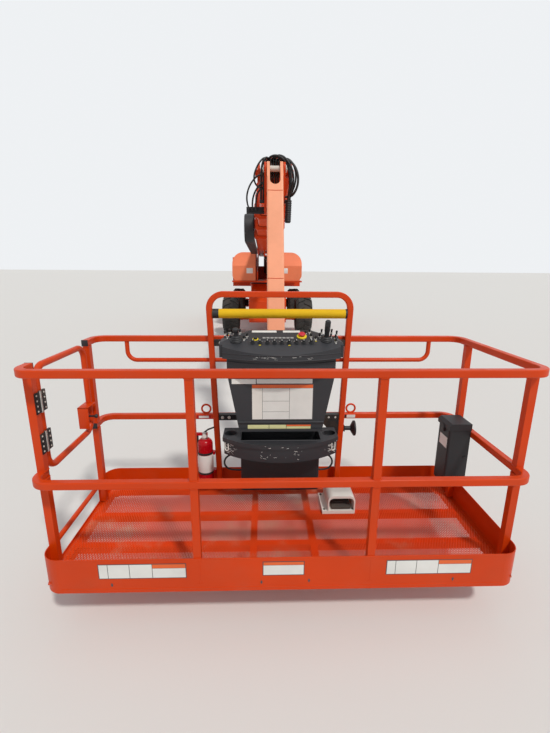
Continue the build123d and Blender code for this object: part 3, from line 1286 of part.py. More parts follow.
def make_tray():
    # a moulded tray with a bowed front, a trough between two cup holders and a rolled rim
    half = TRAY_WIDTH / 2
    floor_z = TRAY_FOOT_Z + TRAY_WALL
    shell = bowed_plan(
        half - TRAY_RIM_PROUD, CONSOLE_BACK_Y, TRAY_END_Y + TRAY_RIM_PROUD, TRAY_MID_Y + TRAY_RIM_PROUD
    )
    body = extrude(Pos(0, 0, TRAY_FOOT_Z) * shell, TRAY_TOP_Z - TRAY_FOOT_Z)
    rim = bowed_plan(half, CONSOLE_BACK_Y, TRAY_END_Y, TRAY_MID_Y)
    body += extrude(Pos(0, 0, TRAY_TOP_Z - TRAY_RIM) * rim, TRAY_RIM)
    body -= platform_block(
        -TROUGH_HALF, TROUGH_HALF, TROUGH_FRONT_Y, CONSOLE_BACK_Y - TRAY_WALL, floor_z, TRAY_TOP_Z + 1
    )
    for side in (1, -1):
        body -= rod_z(
            side * CUP_X, PLATFORM_FRONT_Y + CUP_Y, CUP_R, FLOOR_Z + floor_z, FLOOR_Z + TRAY_TOP_Z + 1
        )
    return body


def make_lower_box():
    half = LOWER_BOX_WIDTH / 2
    box = platform_block(-half, half, LOWER_BOX_FRONT_Y, CONSOLE_BACK_Y, LOWER_BOX_FOOT_Z, TRAY_FOOT_Z)
    return fillet(box.edges().filter_by(Axis.Z).group_by(Axis.Y)[0], LOWER_BOX_R)


def make_console_back():
    # the steel back plate and arms that carry the console on the centre hoop, with the horn's gusset
    y0 = CONSOLE_BACK_Y
    y1 = PLATFORM_DEPTH - 2 * RAIL
    top = CONSOLE_TOP_Z - BACK_ARM
    body = platform_block(
        -BACK_PLATE_HALF, BACK_PLATE_HALF, y0, y0 + BACK_PLATE, LOWER_BOX_FOOT_Z + BACK_ARM, top
    )
    spacer = BACK_PLATE_HALF - BACK_ARM
    for z in (BACK_ARM_FOOT_Z, BACK_ARM_TOP_Z):
        half = hoop_half(z) - RAIL - SEAT_GAP
        body += platform_block(-half, half, y1, y1 + RAIL, z, z + BACK_ARM)
        body += platform_block(-spacer, spacer, y0 + BACK_PLATE / 2, y1 + 1, z, z + BACK_ARM)
    leg = hoop_half(GUSSET_Z) - RAIL - SEAT_GAP
    with BuildSketch(Plane.XZ) as gusset:
        with BuildLine():
            Polyline(
                (GUSSET_INNER_X, BACK_ARM_FOOT_Z + BACK_ARM), (leg, BACK_ARM_FOOT_Z + BACK_ARM),
                (leg, GUSSET_Z),
                (leg - BACK_ARM, GUSSET_Z), (GUSSET_INNER_X, BACK_ARM_FOOT_Z), close=True,
            )
        make_face()
    body += extrude(Pos(0, PLATFORM_FRONT_Y + y1, FLOOR_Z) * gusset.sketch, BACK_PLATE / 2, dir=(0, -1, 0))
    return body


def make_foot_switch():
    # a pedal under an arched guard that is open towards the platform's front
    z0 = FLOOR_TUBE + MESH_THICK
    base = platform_block(SWITCH_X0, SWITCH_X1, SWITCH_Y0, SWITCH_Y1, z0, z0 + SWITCH_BASE)

    def arch(grow):
        half = (SWITCH_X1 - SWITCH_COVER_X0) / 2 + grow
        top = SWITCH_HEIGHT + grow
        shape = Pos(0, top / 2) * Rectangle(2 * half, top)
        return fillet(shape.vertices().group_by(Axis.Y)[-1], SWITCH_BASE + 2 * SWITCH_WALL + grow)

    middle = (SWITCH_X1 + SWITCH_COVER_X0) / 2
    back = Plane(
        origin=(middle, PLATFORM_FRONT_Y + SWITCH_Y1, FLOOR_Z + z0 + SWITCH_BASE), x_dir=(1, 0, 0), z_dir=(
            0, -1, 0
        )
    )
    cover = extrude(back * arch(0), SWITCH_Y1 - SWITCH_Y0)
    cover -= extrude(Pos(0, -SWITCH_WALL, 0) * back * arch(-SWITCH_WALL), SWITCH_Y1 - SWITCH_Y0)
    return base + cover


def make_extinguisher():
    # a small bottle, held by two straps on the centre hoop's left leg
    x = EXTINGUISHER_X
    y = HOOP_Y - 20
    z0 = FLOOR_Z + EXTINGUISHER_Z
    top = z0 + EXTINGUISHER_HEIGHT
    body = rod_z(x, y, EXTINGUISHER_R, z0, top)
    body = fillet(body.edges().filter_by(GeomType.CIRCLE).sort_by(Axis.Z)[-1], EXTINGUISHER_R * 0.75)
    body += rod_z(x, y, EXTINGUISHER_NECK_R, top - 5, top + EXTINGUISHER_NECK)
    body += block(x - 60, x + 20, y - 9, y + 9, top + EXTINGUISHER_NECK - 18, top + EXTINGUISHER_NECK)
    for z in (EXTINGUISHER_Z + 70, EXTINGUISHER_Z + 210):
        body += block(x, -hoop_half(z) - 1, y - 12, y + 12, FLOOR_Z + z, FLOOR_Z + z + 24)
    return body


def make_document_box():
    # a lidded box for papers, with its back against the right mid rail
    x1 = PLATFORM_WIDTH / 2 - RAIL
    x0 = x1 - DOC_BOX_DEPTH
    proud = DOC_BOX_LID_PROUD
    box = platform_block(x0, x1, DOC_BOX_Y0, DOC_BOX_Y1, DOC_BOX_FOOT_Z, DOC_BOX_LID_Z + 1)
    box = fillet(box.edges().filter_by(Axis.Z).group_by(Axis.X)[0], 2 * proud)
    lid = platform_block(x0 - proud, x1, DOC_BOX_Y0 - proud, DOC_BOX_Y1 + proud, DOC_BOX_LID_Z, DOC_BOX_TOP_Z)
    return box + chamfer(lid.edges().filter_by(Axis.Y).group_by(Axis.X)[0].sort_by(Axis.Z)[-1], 3 * proud)


GATE_X = -PLATFORM_WIDTH / 2 + RAIL / 2
GATE_HINGE_Y = PLATFORM_FRONT_Y + POST_FRONT_Y + RAIL / 2 + GATE_GAP + GATE_TUBE_R


def make_gate():
    y0 = GATE_HINGE_Y
    y1 = PLATFORM_FRONT_Y + POST_REAR_Y - RAIL / 2 - GATE_GAP - GATE_TUBE_R
    z0 = FLOOR_Z + GATE_BOTTOM_Z
    z1 = FLOOR_Z + GATE_TOP_Z - GATE_TUBE_R
    x = GATE_X
    mid = (y0 + y1) / 2
    path = FilletPolyline((x, mid, z1), (x, y1, z1), (x, y1, z0), (x, mid, z0), radius=GATE_BEND_R)
    face = Plane(origin=path @ 0, z_dir=path % 0) * Circle(GATE_TUBE_R)
    body = sweep(face, path=path)
    path = FilletPolyline((x, mid, z1), (x, y0, z1), (x, y0, z0), (x, mid, z0), radius=GATE_BEND_R)
    face = Plane(origin=path @ 0, z_dir=path % 0) * Circle(GATE_TUBE_R)
    latch_z = FLOOR_Z + LATCH_Z
    latch = block(
        x - LATCH_PLATE / 2, x + LATCH_PLATE / 2, y1 - LATCH_WIDTH, y1, latch_z - LATCH_HEIGHT / 2,
        latch_z + LATCH_HEIGHT / 2
    )
    bolt = bar(
        (x, y1 - LATCH_WIDTH, latch_z), (x, y1 + GATE_TUBE_R + GATE_GAP - SEAT_GAP, latch_z), LATCH_PLATE
    )
    return body + sweep(face, path=path) + latch + bolt


def make_gate_hinges():
    # two butt hinges between the front post and the gate's hinge tube
    body = Part()
    post_face = PLATFORM_FRONT_Y + POST_FRONT_Y + RAIL / 2
    for z in (765.0, 970.0):
        z0 = FLOOR_Z + z - 50
        body += block(GATE_X - 8, GATE_X + 8, post_face, GATE_HINGE_Y - GATE_TUBE_R, z0, z0 + 100)
    return body


def make_cord(name, points, origin, r):
    # a hose or cable of straight runs joined by arcs as large as the runs allow
    route = [Vector(*point) + Vector(*origin) for point in points]
    runs = [b - a for a, b in zip(route, route[1:])]
    radii = []
    for before, after in zip(runs, runs[1:]):
        half_turn = radians(before.get_angle(after)) / 2
        radii.append(ARC_SHARE * min(before.length, after.length) / tan(half_turn))
    print(name, "bend radii", [round(radius) for radius in radii])
    path = FilletPolyline(*route, radius=radii)
    return sweep(Plane(origin=path @ 0, z_dir=path % 0) * Circle(r), path=path)


PARTS = {}


def keep(name, shape):
    PARTS[name] = shape


keep("chassis_frame", make_chassis_frame())
keep("slew_ring", make_slew_ring())
for axle_name, axle_y in AXLES:
    keep(f"{axle_name}_axle", make_axle(axle_y))
    for side_name, side in SIDES:
        keep(f"knuckle_{axle_name}_{side_name}", make_knuckle(side, axle_y))
        keep(f"tyre_{axle_name}_{side_name}", make_tyre(side, axle_y))
        keep(f"rim_{axle_name}_{side_name}", make_rim(side, axle_y))
keep("turntable_deck", make_turntable_deck())
keep("boom_uprights", make_uprights())
keep("hood_bulkheads", make_bulkheads())
keep("counterweight", make_counterweight())
keep("engine_block", make_engine())
for side_name, side in SIDES:
    keep(f"hood_{side_name}", make_hood(side))
keep("boom_base", make_boom_base())
keep("boom_outer_mid", make_boom_section(1))
keep("boom_inner_mid", make_boom_section(2))
keep("boom_fly", make_boom_fly())
keep("power_track", make_power_track())
keep("lift_cylinder_barrel", make_lift_barrel())
keep("lift_cylinder_rod", make_lift_rod())
keep("boom_nose", make_nose())
keep("jib_arm", make_jib_arm())
keep("jib_cylinder_barrel", make_jib_barrel())
keep("jib_cylinder_rod", make_jib_rod())
keep("jib_level_link", make_level_link())
keep("platform_mount", make_platform_mount())
keep("platform_carrier", make_carrier())
keep("platform_floor_frame", make_floor_frame())
keep("platform_floor_mesh", make_floor_mesh())
keep("kick_plate", make_kick_plate())
keep("top_rail", make_rail(TOP_RAIL_Z))
keep("mid_rail", make_mid_rail())
keep("rail_posts", make_posts())
keep("rear_hoop", make_rear_hoop())
keep("centre_hoop", make_centre_hoop())
keep("grab_bar", make_grab_bar())
keep("console", make_console())
keep("console_label_box", make_label_box())
keep("console_tray", make_tray())
keep("console_lower_box", make_lower_box())
keep("console_back", make_console_back())
keep("console_controls", make_controls())
keep("foot_switch", make_foot_switch())
keep("extinguisher", make_extinguisher())
keep("document_box", make_document_box())
keep("gate", make_gate())
keep("gate_hinges", make_gate_hinges())
JIB_PIN_MIDDLE = (0, JIB_TOP_Y, JIB_TOP_Z)
PLATFORM_DATUM = (0, PLATFORM_FRONT_Y, FLOOR_Z)
CORDS = [
    # name, route, where its sizes are measured from, tube radius
    ("jib_hose_loop", JIB_HOSE_RIGHT, JIB_PIN_MIDDLE, HOSE_R),
    ("console_cable_left", CONSOLE_CABLE_LEFT, PLATFORM_DATUM, CABLE_R),
    ("console_cable_right", CONSOLE_CABLE_RIGHT, PLATFORM_DATUM, CABLE_R),
]
for cord_name, cord_route, cord_origin, cord_r in CORDS:
    keep(cord_name, make_cord(cord_name, cord_route, cord_origin, cord_r))

os.makedirs("parts", exist_ok=True)
for name, shape in PARTS.items():
    export_step(shape, f"parts/{name}.step")
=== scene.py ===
import json
import math
import random
from collections import defaultdict

import bmesh
import bpy
from mathutils import Matrix, Vector


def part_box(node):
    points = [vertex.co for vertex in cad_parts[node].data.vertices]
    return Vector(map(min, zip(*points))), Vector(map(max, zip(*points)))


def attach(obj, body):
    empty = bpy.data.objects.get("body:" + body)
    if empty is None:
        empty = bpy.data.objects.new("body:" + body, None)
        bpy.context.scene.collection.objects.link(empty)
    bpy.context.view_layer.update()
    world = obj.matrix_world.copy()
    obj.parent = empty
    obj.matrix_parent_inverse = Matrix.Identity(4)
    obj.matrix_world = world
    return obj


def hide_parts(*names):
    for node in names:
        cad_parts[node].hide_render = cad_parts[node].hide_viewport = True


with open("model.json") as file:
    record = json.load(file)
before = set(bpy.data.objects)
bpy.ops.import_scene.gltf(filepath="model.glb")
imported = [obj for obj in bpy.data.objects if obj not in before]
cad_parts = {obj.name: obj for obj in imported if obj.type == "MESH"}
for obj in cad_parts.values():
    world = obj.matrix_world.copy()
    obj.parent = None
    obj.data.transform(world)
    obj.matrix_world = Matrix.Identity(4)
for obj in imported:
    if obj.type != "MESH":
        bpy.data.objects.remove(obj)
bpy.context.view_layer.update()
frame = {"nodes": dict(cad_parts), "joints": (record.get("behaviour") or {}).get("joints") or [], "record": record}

random.seed(7)
SCENE = bpy.context.scene

# Places taken from the frame
KICK_LOW, KICK_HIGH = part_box("kick_plate")
FRONT_Y = KICK_LOW[1]
FOOT_Z = KICK_LOW[2]
JOINTS = {joint["name"]: joint for joint in frame["joints"]}
JIB_PIN = Vector(JOINTS["jib_lift"]["pos_m"])
SWING = Vector(JOINTS["swing"]["pos_m"])
BOOM_PIVOT = Vector(JOINTS["boom_lift"]["pos_m"])
BOOM_ALONG = Vector(JOINTS["boom_extend"]["axis"]).normalized()
BOOM_UP = Vector((1, 0, 0)).cross(-BOOM_ALONG).normalized()
# How far the jib slopes below level, as built
JIB_SLOPE = math.radians(67.4)
JIB_ALONG = Vector((0, -math.cos(JIB_SLOPE), -math.sin(JIB_SLOPE)))
JIB_OUT = Vector((0, -math.sin(JIB_SLOPE), math.cos(JIB_SLOPE)))


def at(x, y, z):
    """A point given from the platform's centre line, front face and bottom edge."""
    return Vector((x, FRONT_Y + y, FOOT_Z + z))


def nose_at(x, y, z):
    """A point given from the middle of the jib's upper pin."""
    return JIB_PIN + Vector((x, y, z))


def boom_at(u, x, v):
    """A point along the boom from its pivot, across it, and above its pivot line."""
    return BOOM_PIVOT + BOOM_ALONG * u + BOOM_UP * v + Vector((x, 0, 0))


# Materials
def new_material(name):
    """A new material, its nodes, its shader and the object's own coordinates for its textures."""
    mat = bpy.data.materials.new(name)
    mat.use_nodes = True
    tree = mat.node_tree
    coords = tree.nodes.new("ShaderNodeTexCoord").outputs["Object"]
    return mat, tree, tree.nodes["Principled BSDF"], coords


def noise(tree, scale, detail, rough, coords):
    node = tree.nodes.new("ShaderNodeTexNoise")
    node.inputs["Scale"].default_value = scale
    node.inputs["Detail"].default_value = detail
    node.inputs["Roughness"].default_value = rough
    tree.links.new(coords, node.inputs["Vector"])
    return node.outputs["Fac"]


def ramp(tree, value, low, high, a=(0, 0, 0, 1), b=(1, 1, 1, 1)):
    node = tree.nodes.new("ShaderNodeValToRGB")
    node.color_ramp.elements[0].position = low
    node.color_ramp.elements[1].position = high
    node.color_ramp.elements[0].color = a
    node.color_ramp.elements[1].color = b
    tree.links.new(value, node.inputs["Fac"])
    return node.outputs["Color"]


def grey_ramp(tree, value, low, high, dark, light):
    return ramp(tree, value, low, high, (dark, dark, dark, 1), (light, light, light, 1))


def mix(tree, fac, a, b):
    node = tree.nodes.new("ShaderNodeMix")
    node.data_type = "RGBA"
    tree.links.new(fac, node.inputs["Factor"])
    for socket, value in ((node.inputs["A"], a), (node.inputs["B"], b)):
        if isinstance(value, tuple):
            socket.default_value = (*value, 1.0)
        else:
            tree.links.new(value, socket)
    return node.outputs["Result"]


def bump(tree, shader, height, strength, distance):
    node = tree.nodes.new("ShaderNodeBump")
    node.inputs["Strength"].default_value = strength
    node.inputs["Distance"].default_value = distance
    tree.links.new(height, node.inputs["Height"])
    tree.links.new(node.outputs["Normal"], shader.inputs["Normal"])


def srgb(r, g, b):
    """A colour given as 0-255 on screen, as the linear triple that a shader takes."""
    return tuple(((c / 255 + 0.055) / 1.055) ** 2.4 if c > 10 else c / 255 / 12.92 for c in (r, g, b))


def shade(colour, factor):
    return tuple(min(1.0, c * factor) for c in colour)


DUST = srgb(150, 124, 100)


def painted(name, colour, chip, rough=0.4, wear=0.7, dusty=0.12):
    """Sprayed steel: mottling, scuffs, small chips to a darker coat, thin dust and an orange-peel bump."""
    mat, tree, shader, coords = new_material(name)
    colour, chip = srgb(*colour), srgb(*chip)
    tone = mix(tree, ramp(tree, noise(tree, 1.4, 5.0, 0.6, coords), 0.35, 0.7), colour, shade(colour, 0.84))
    scuff = ramp(tree, noise(tree, 34.0, 8.0, 0.75, coords), 0.64, 0.7)
    scuffed = mix(tree, scuff, tone, shade(colour, 0.72))
    specks = ramp(tree, noise(tree, 210.0, 5.0, 0.65, coords), wear, wear + 0.02)
    chipped = mix(tree, specks, scuffed, chip)
    veil = grey_ramp(tree, noise(tree, 6.0, 8.0, 0.65, coords), 0.5, 0.9, 0.0, dusty)
    tree.links.new(mix(tree, veil, chipped, DUST), shader.inputs["Base Color"])
    gloss = grey_ramp(tree, noise(tree, 12.0, 6.0, 0.6, coords), 0.3, 0.8, rough - 0.08, rough + 0.22)
    tree.links.new(gloss, shader.inputs["Roughness"])
    shader.inputs["Specular IOR Level"].default_value = 0.24
    shader.inputs["Coat Weight"].default_value = 0.06
    shader.inputs["Coat Roughness"].default_value = 0.15
    bump(tree, shader, noise(tree, 260.0, 2.0, 0.5, coords), 0.12, 0.0006)
    return mat


def plastic(name, colour, scuff, rough=0.55, marked=0.68):
    """Moulded plastic with a fine grain and pale scuffs."""
    mat, tree, shader, coords = new_material(name)
    colour, scuff = srgb(*colour), srgb(*scuff)
    marks = ramp(tree, noise(tree, 46.0, 9.0, 0.72, coords), marked, marked + 0.05)
    base = mix(tree, ramp(tree, noise(tree, 3.0, 4.0, 0.6, coords), 0.3, 0.7), colour, shade(colour, 1.25))
    tree.links.new(mix(tree, marks, base, scuff), shader.inputs["Base Color"])
    tree.links.new(grey_ramp(tree, marks, 0.0, 1.0, rough, rough + 0.2), shader.inputs["Roughness"])
    bump(tree, shader, noise(tree, 420.0, 2.0, 0.5, coords), 0.25, 0.0005)
    return mat


def rubber(name, colour, dust, dusty=0.5, rough=0.82):
    mat, tree, shader, coords = new_material(name)
    colour, dust = srgb(*colour), srgb(*dust)
    veil = grey_ramp(tree, noise(tree, 5.0, 9.0, 0.7, coords), 0.35, 0.85, 0.05, dusty)
    tree.links.new(mix(tree, veil, colour, dust), shader.inputs["Base Color"])
    shader.inputs["Roughness"].default_value = rough
    bump(tree, shader, noise(tree, 90.0, 5.0, 0.6, coords), 0.35, 0.002)
    return mat


def metal(name, colour, rough=0.35):
    mat, tree, shader, coords = new_material(name)
    tone = mix(tree, ramp(tree, noise(tree, 30.0, 6.0, 0.6, coords), 0.35, 0.75), colour, shade(colour, 0.7))
    tree.links.new(tone, shader.inputs["Base Color"])
    shader.inputs["Metallic"].default_value = 1.0
    gloss = grey_ramp(tree, noise(tree, 60.0, 4.0, 0.6, coords), 0.3, 0.8, rough - 0.1, rough + 0.15)
    tree.links.new(gloss, shader.inputs["Roughness"])
    return mat


def worn_mesh(name, colour, bare):
    """Painted floor strands, rubbed to grey steel and dust where people stand."""
    mat, tree, shader, coords = new_material(name)
    colour, bare = srgb(*colour), srgb(*bare)
    tone = mix(tree, ramp(tree, noise(tree, 3.0, 4.0, 0.6, coords), 0.3, 0.7), colour, shade(colour, 0.8))
    rubbed = ramp(tree, noise(tree, 2.6, 7.0, 0.75, coords), 0.52, 0.66)
    tree.links.new(mix(tree, rubbed, tone, bare), shader.inputs["Base Color"])
    tree.links.new(grey_ramp(tree, rubbed, 0.0, 1.0, 0.45, 0.7), shader.inputs["Roughness"])
    bump(tree, shader, noise(tree, 300.0, 3.0, 0.6, coords), 0.2, 0.0005)
    return mat


# Each look: its colours are given as 0-255 on screen, bare metal's as linear values
M = {
    "orange": painted("orange_paint", (214, 64, 2), (112, 34, 14)),
    "mesh_orange": worn_mesh("mesh_paint", (240, 88, 30), (214, 150, 120)),
    # Pale orange for the jib: partly faded paint, partly painted sun glare that lightens the whole colour
    "glare_and_fade": painted("faded_orange_painted_glare", (252, 170, 132), (206, 112, 76), rough=0.42, wear=0.74, dusty=0.15),
    # Pale orange for the hoods: partly faded paint, partly painted sun glare on their tops
    "hood": painted("hood_orange_painted_glare", (244, 134, 92), (196, 98, 62), rough=0.42, wear=0.76, dusty=0.15),
    "dark_steel": painted("black_paint", (34, 34, 36), (90, 70, 55), rough=0.5, dusty=0.4),
    "tyre": rubber("tyre_rubber", (34, 35, 37), (112, 98, 84), dusty=0.35),
    "hose": rubber("hose_rubber", (17, 17, 19), (70, 66, 62), dusty=0.16, rough=0.5),
    "rim": painted("rim_paint", (206, 200, 188), (120, 90, 70), dusty=0.6),
    "chrome": metal("chrome_rod", (0.82, 0.82, 0.84), 0.14),
    "steel": metal("bare_steel", (0.62, 0.61, 0.58), 0.38),
    "zinc": plastic("zinc_bolt_heads", (196, 192, 184), (140, 120, 100), rough=0.35),
    "console": plastic("console_grey", (41, 42, 46), (112, 114, 116)),
    "panel": plastic("panel_black", (30, 31, 34), (96, 98, 100), rough=0.45),
    "black_plastic": plastic("black_plastic", (28, 28, 31), (84, 82, 80), marked=0.72),
    "yellow": rubber("yellow_foam", (236, 190, 0), (140, 106, 30), dusty=0.2),
    "safety_yellow": plastic("yellow_plastic", (222, 196, 30), (120, 110, 60)),
    "pale_yellow": plastic("faded_yellow_plate", (206, 204, 150), (150, 150, 120)),
    "stop_red": plastic("red_button", (190, 26, 44), (220, 110, 120), rough=0.35),
    "red": painted("red_paint", (186, 8, 24), (110, 20, 24), rough=0.22, dusty=0.1),
    "white": plastic("white_plastic", (216, 213, 206), (160, 140, 120)),
    "plate": plastic("blank_plate", (214, 214, 210), (170, 164, 156), rough=0.4, marked=0.74),
    "line": plastic("plate_border", (70, 66, 68), (110, 106, 104), rough=0.5),
    "stripe": plastic("orange_stripe", (218, 96, 40), (170, 110, 70), rough=0.45),
    "iron": rubber("cast_iron", (60, 58, 56), (110, 90, 70)),
}
SLOT_LOOK = {
    "orange_paint": "orange", "dark_steel": "dark_steel", "tyre": "tyre", "rim_paint": "rim",
    "chrome_rod": "chrome", "black_plastic": "black_plastic", "grey_plastic": "console",
    "yellow_foam": "yellow", "red_paint": "red", "cast_iron": "iron", "white_plastic": "white",
    "hood_plastic": "hood", "hose": "hose",
}
# The jib takes the pale orange that holds painted sun glare
NODE_LOOK = {"jib_arm": "glare_and_fade"}


def dress_nodes():
    for row in frame["record"]["subparts"]:
        name = row["node"]
        node = frame["nodes"][name]
        node.data.materials.clear()
        node.data.materials.append(M[NODE_LOOK.get(name, SLOT_LOOK[row["material_slot"]])])


dress_nodes()


# Mesh helpers
SHARP_ANGLE = math.radians(35)


def add_piece(name, bm, material, body):
    """Turns a finished bmesh into an object of one material that rides on a body."""
    bmesh.ops.recalc_face_normals(bm, faces=bm.faces)
    mesh = bpy.data.meshes.new(name)
    bm.to_mesh(mesh)
    bm.free()
    for poly in mesh.polygons:
        poly.use_smooth = True
    mesh.set_sharp_from_angle(angle=SHARP_ANGLE)
    obj = bpy.data.objects.new(name, mesh)
    SCENE.collection.objects.link(obj)
    mesh.materials.append(M[material])
    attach(obj, body)
    return obj


def put_box(bm, low, high, bevel=0.0):
    size = [abs(h - l) for l, h in zip(low, high)]
    centre = [(l + h) / 2 for l, h in zip(low, high)]
    place = Matrix.Translation(centre) @ Matrix.Diagonal((*size, 1.0))
    made = bmesh.ops.create_cube(bm, size=1.0, matrix=place)
    if bevel:
        edges = list({edge for vert in made["verts"] for edge in vert.link_edges})
        bmesh.ops.bevel(bm, geom=edges, offset=bevel, segments=2, profile=0.5, affect="EDGES")


def put_slab(bm, corners, thick):
    """A thin slab on four corners, raised along their common normal."""
    lift = (corners[1] - corners[0]).cross(corners[3] - corners[0]).normalized() * thick
    low = [bm.verts.new(c) for c in corners]
    top = [bm.verts.new(c + lift) for c in corners]
    bm.faces.new(low)
    bm.faces.new(top)
    for k in range(4):
        n = (k + 1) % 4
        bm.faces.new((low[k], low[n], top[n], top[k]))


def turns(count, start=0.0):
    """The angles of even steps round a circle, the first one a part of a step on."""
    return [2 * math.pi * (k + start) / count for k in range(count)]


def round_x(centre, out, r, a):
    """A point at a radius and an angle round a line across the machine, and so far out along it."""
    return centre + Vector((out, r * math.cos(a), r * math.sin(a)))


def put_turned(bm, origin, axis, profile, sides=24):
    """A turned shape on an axis; profile is a list of (distance along it, radius)."""
    turn = Vector(axis).to_track_quat("Z", "Y").to_matrix()
    rings = []
    for along, r in profile:
        angles = turns(sides) if r else [0.0]
        spots = [Vector((r * math.cos(a), r * math.sin(a), along)) for a in angles]
        rings.append([bm.verts.new(Vector(origin) + turn @ spot) for spot in spots])
    for a, b in zip(rings, rings[1:]):
        for k in range(sides):
            n = (k + 1) % sides
            if len(a) == 1:
                bm.faces.new((a[0], b[k], b[n]))
            elif len(b) == 1:
                bm.faces.new((a[k], a[n], b[0]))
            else:
                bm.faces.new((a[k], a[n], b[n], b[k]))
    for ring in (rings[0], rings[-1]):
        if len(ring) > 1:
            bm.faces.new(ring)


def put_rod(bm, a, b, r, sides=16):
    run = Vector(b) - Vector(a)
    put_turned(bm, a, run, [(0.0, r), (run.length, r)], sides)


def put_bolt(bm, origin, axis, r, height):
    """A hexagon head on a round washer."""
    put_turned(bm, origin, axis, [(0.0, r * 1.35), (height * 0.25, r * 1.35)], 16)
    put_turned(bm, origin, axis, [(height * 0.2, r), (height * 0.85, r), (height, r * 0.8)], 6)


def put_tube(bm, points, r, closed=False, sides=8):
    """A tube along a row of points, for rods, beads and brackets that are part of the object."""
    points = [Vector(p) for p in points]
    count = len(points)
    rings = []
    side = None
    for k, point in enumerate(points):
        ahead = points[(k + 1) % count] if closed or k + 1 < count else point
        back = points[k - 1] if closed or k else point
        run = (ahead - back).normalized()
        if side is None:
            side = run.orthogonal().normalized()
        side = (side - run * side.dot(run)).normalized()
        up = run.cross(side)
        spots = [point + (side * math.cos(a) + up * math.sin(a)) * r for a in turns(sides)]
        rings.append([bm.verts.new(spot) for spot in spots])
    pairs = list(zip(rings, rings[1:] + rings[:1] if closed else rings[1:]))
    for a, b in pairs:
        for n in range(sides):
            m = (n + 1) % sides
            bm.faces.new((a[n], a[m], b[m], b[n]))
    if not closed:
        bm.faces.new(rings[0])
        bm.faces.new(rings[-1])


# Stage, light and camera
def stage():
    bpy.ops.mesh.primitive_plane_add(size=400.0, location=(0, 0, 0))
    ground = bpy.context.object
    ground.name = "studio_floor"
    mat, _, shader, _ = new_material("studio_floor")
    shader.inputs["Base Color"].default_value = (0.74, 0.73, 0.71, 1)
    shader.inputs["Roughness"].default_value = 0.9
    ground.data.materials.append(mat)


SUN_DIRECTION = Vector((-0.35, 0.62, -0.95))


def light_up():
    """Soft even sky light and one sun, at about the level at which a colour renders as written."""
    world = bpy.data.worlds.new("studio")
    SCENE.world = world
    world.use_nodes = True
    tree = world.node_tree
    back = tree.nodes["Background"]
    back.inputs["Color"].default_value = (0.95, 0.97, 1.0, 1)
    back.inputs["Strength"].default_value = 0.5
    sky = tree.nodes.new("ShaderNodeBackground")
    sky.inputs["Color"].default_value = (0.86, 0.88, 0.9, 1)
    path = tree.nodes.new("ShaderNodeLightPath")
    either = tree.nodes.new("ShaderNodeMath")
    either.operation = "MAXIMUM"
    tree.links.new(path.outputs["Is Camera Ray"], either.inputs[0])
    tree.links.new(path.outputs["Is Glossy Ray"], either.inputs[1])
    blend = tree.nodes.new("ShaderNodeMixShader")
    tree.links.new(either.outputs["Value"], blend.inputs["Fac"])
    tree.links.new(back.outputs["Background"], blend.inputs[1])
    tree.links.new(sky.outputs["Background"], blend.inputs[2])
    tree.links.new(blend.outputs["Shader"], tree.nodes["World Output"].inputs["Surface"])
    sun = bpy.data.lights.new("key", "SUN")
    sun.energy = 1.9
    sun.angle = math.radians(5)
    sun.color = (1.0, 0.97, 0.92)
    obj = bpy.data.objects.new("key", sun)
    obj.rotation_euler = SUN_DIRECTION.to_track_quat("-Z", "Y").to_euler()
    SCENE.collection.objects.link(obj)


# The camera solved from the platform's rails: its lens in pixels of the 550 by 733 photograph,
# its place as at() takes it
IMAGE_HEIGHT = 733.0
FOCAL_PIXELS = 387.9
SENSOR = 36.0
CAMERA_PLACE = (-0.105, -1.643, 1.601)
CAMERA_PITCH = math.radians(14.3)
CAMERA_YAW = math.radians(1.72)
CAMERA_ROLL = math.radians(0.38)


def camera():
    data = bpy.data.cameras.new("view")
    data.sensor_fit = "VERTICAL"
    data.sensor_height = SENSOR
    data.lens = SENSOR * FOCAL_PIXELS / IMAGE_HEIGHT
    obj = bpy.data.objects.new("view", data)
    pitch, yaw, roll = CAMERA_PITCH, CAMERA_YAW, CAMERA_ROLL
    forward = Vector((math.sin(yaw) * math.cos(pitch), math.cos(yaw) * math.cos(pitch), -math.sin(pitch)))
    right = forward.cross(Vector((0, 0, 1))).normalized()
    up = right.cross(forward)
    tilted_right = math.cos(roll) * right + math.sin(roll) * up
    tilted_up = -math.sin(roll) * right + math.cos(roll) * up
    turn = Matrix((tilted_right, tilted_up, -forward)).transposed()
    obj.matrix_world = Matrix.Translation(at(*CAMERA_PLACE)) @ turn.to_4x4()
    data.clip_end = 200.0
    SCENE.collection.objects.link(obj)
    SCENE.camera = obj


stage()
light_up()
camera()


# Hoses and cables
HOSE_R = 0.011
CABLE_R = 0.006
JIB_HOSE_RIGHT = [
    (0.03, 0.12, 0.1), (0.03, 0.062, 0.1), (0.072, 0.022, 0.098), (0.128, -0.006, 0.074),
    (0.184, -0.032, 0.022), (0.216, -0.046, -0.062), (0.214, -0.04, -0.152), (0.178, -0.004, -0.222),
    (0.14, 0.058, -0.232), (0.098, 0.058, -0.232),
]
CONSOLE_CABLE_LEFT = [
    (-0.2525, 0.672, 0.425), (-0.3, 0.672, 0.425), (-0.348, 0.668, 0.408), (-0.366, 0.664, 0.366),
    (-0.346, 0.662, 0.326), (-0.3, 0.664, 0.312), (-0.2525, 0.664, 0.312),
]
CONSOLE_CABLE_RIGHT = [
    (0.2525, 0.68, 0.418), (0.296, 0.68, 0.418), (0.334, 0.676, 0.4), (0.35, 0.672, 0.36),
    (0.33, 0.67, 0.32), (0.292, 0.672, 0.306), (0.2525, 0.672, 0.306),
]
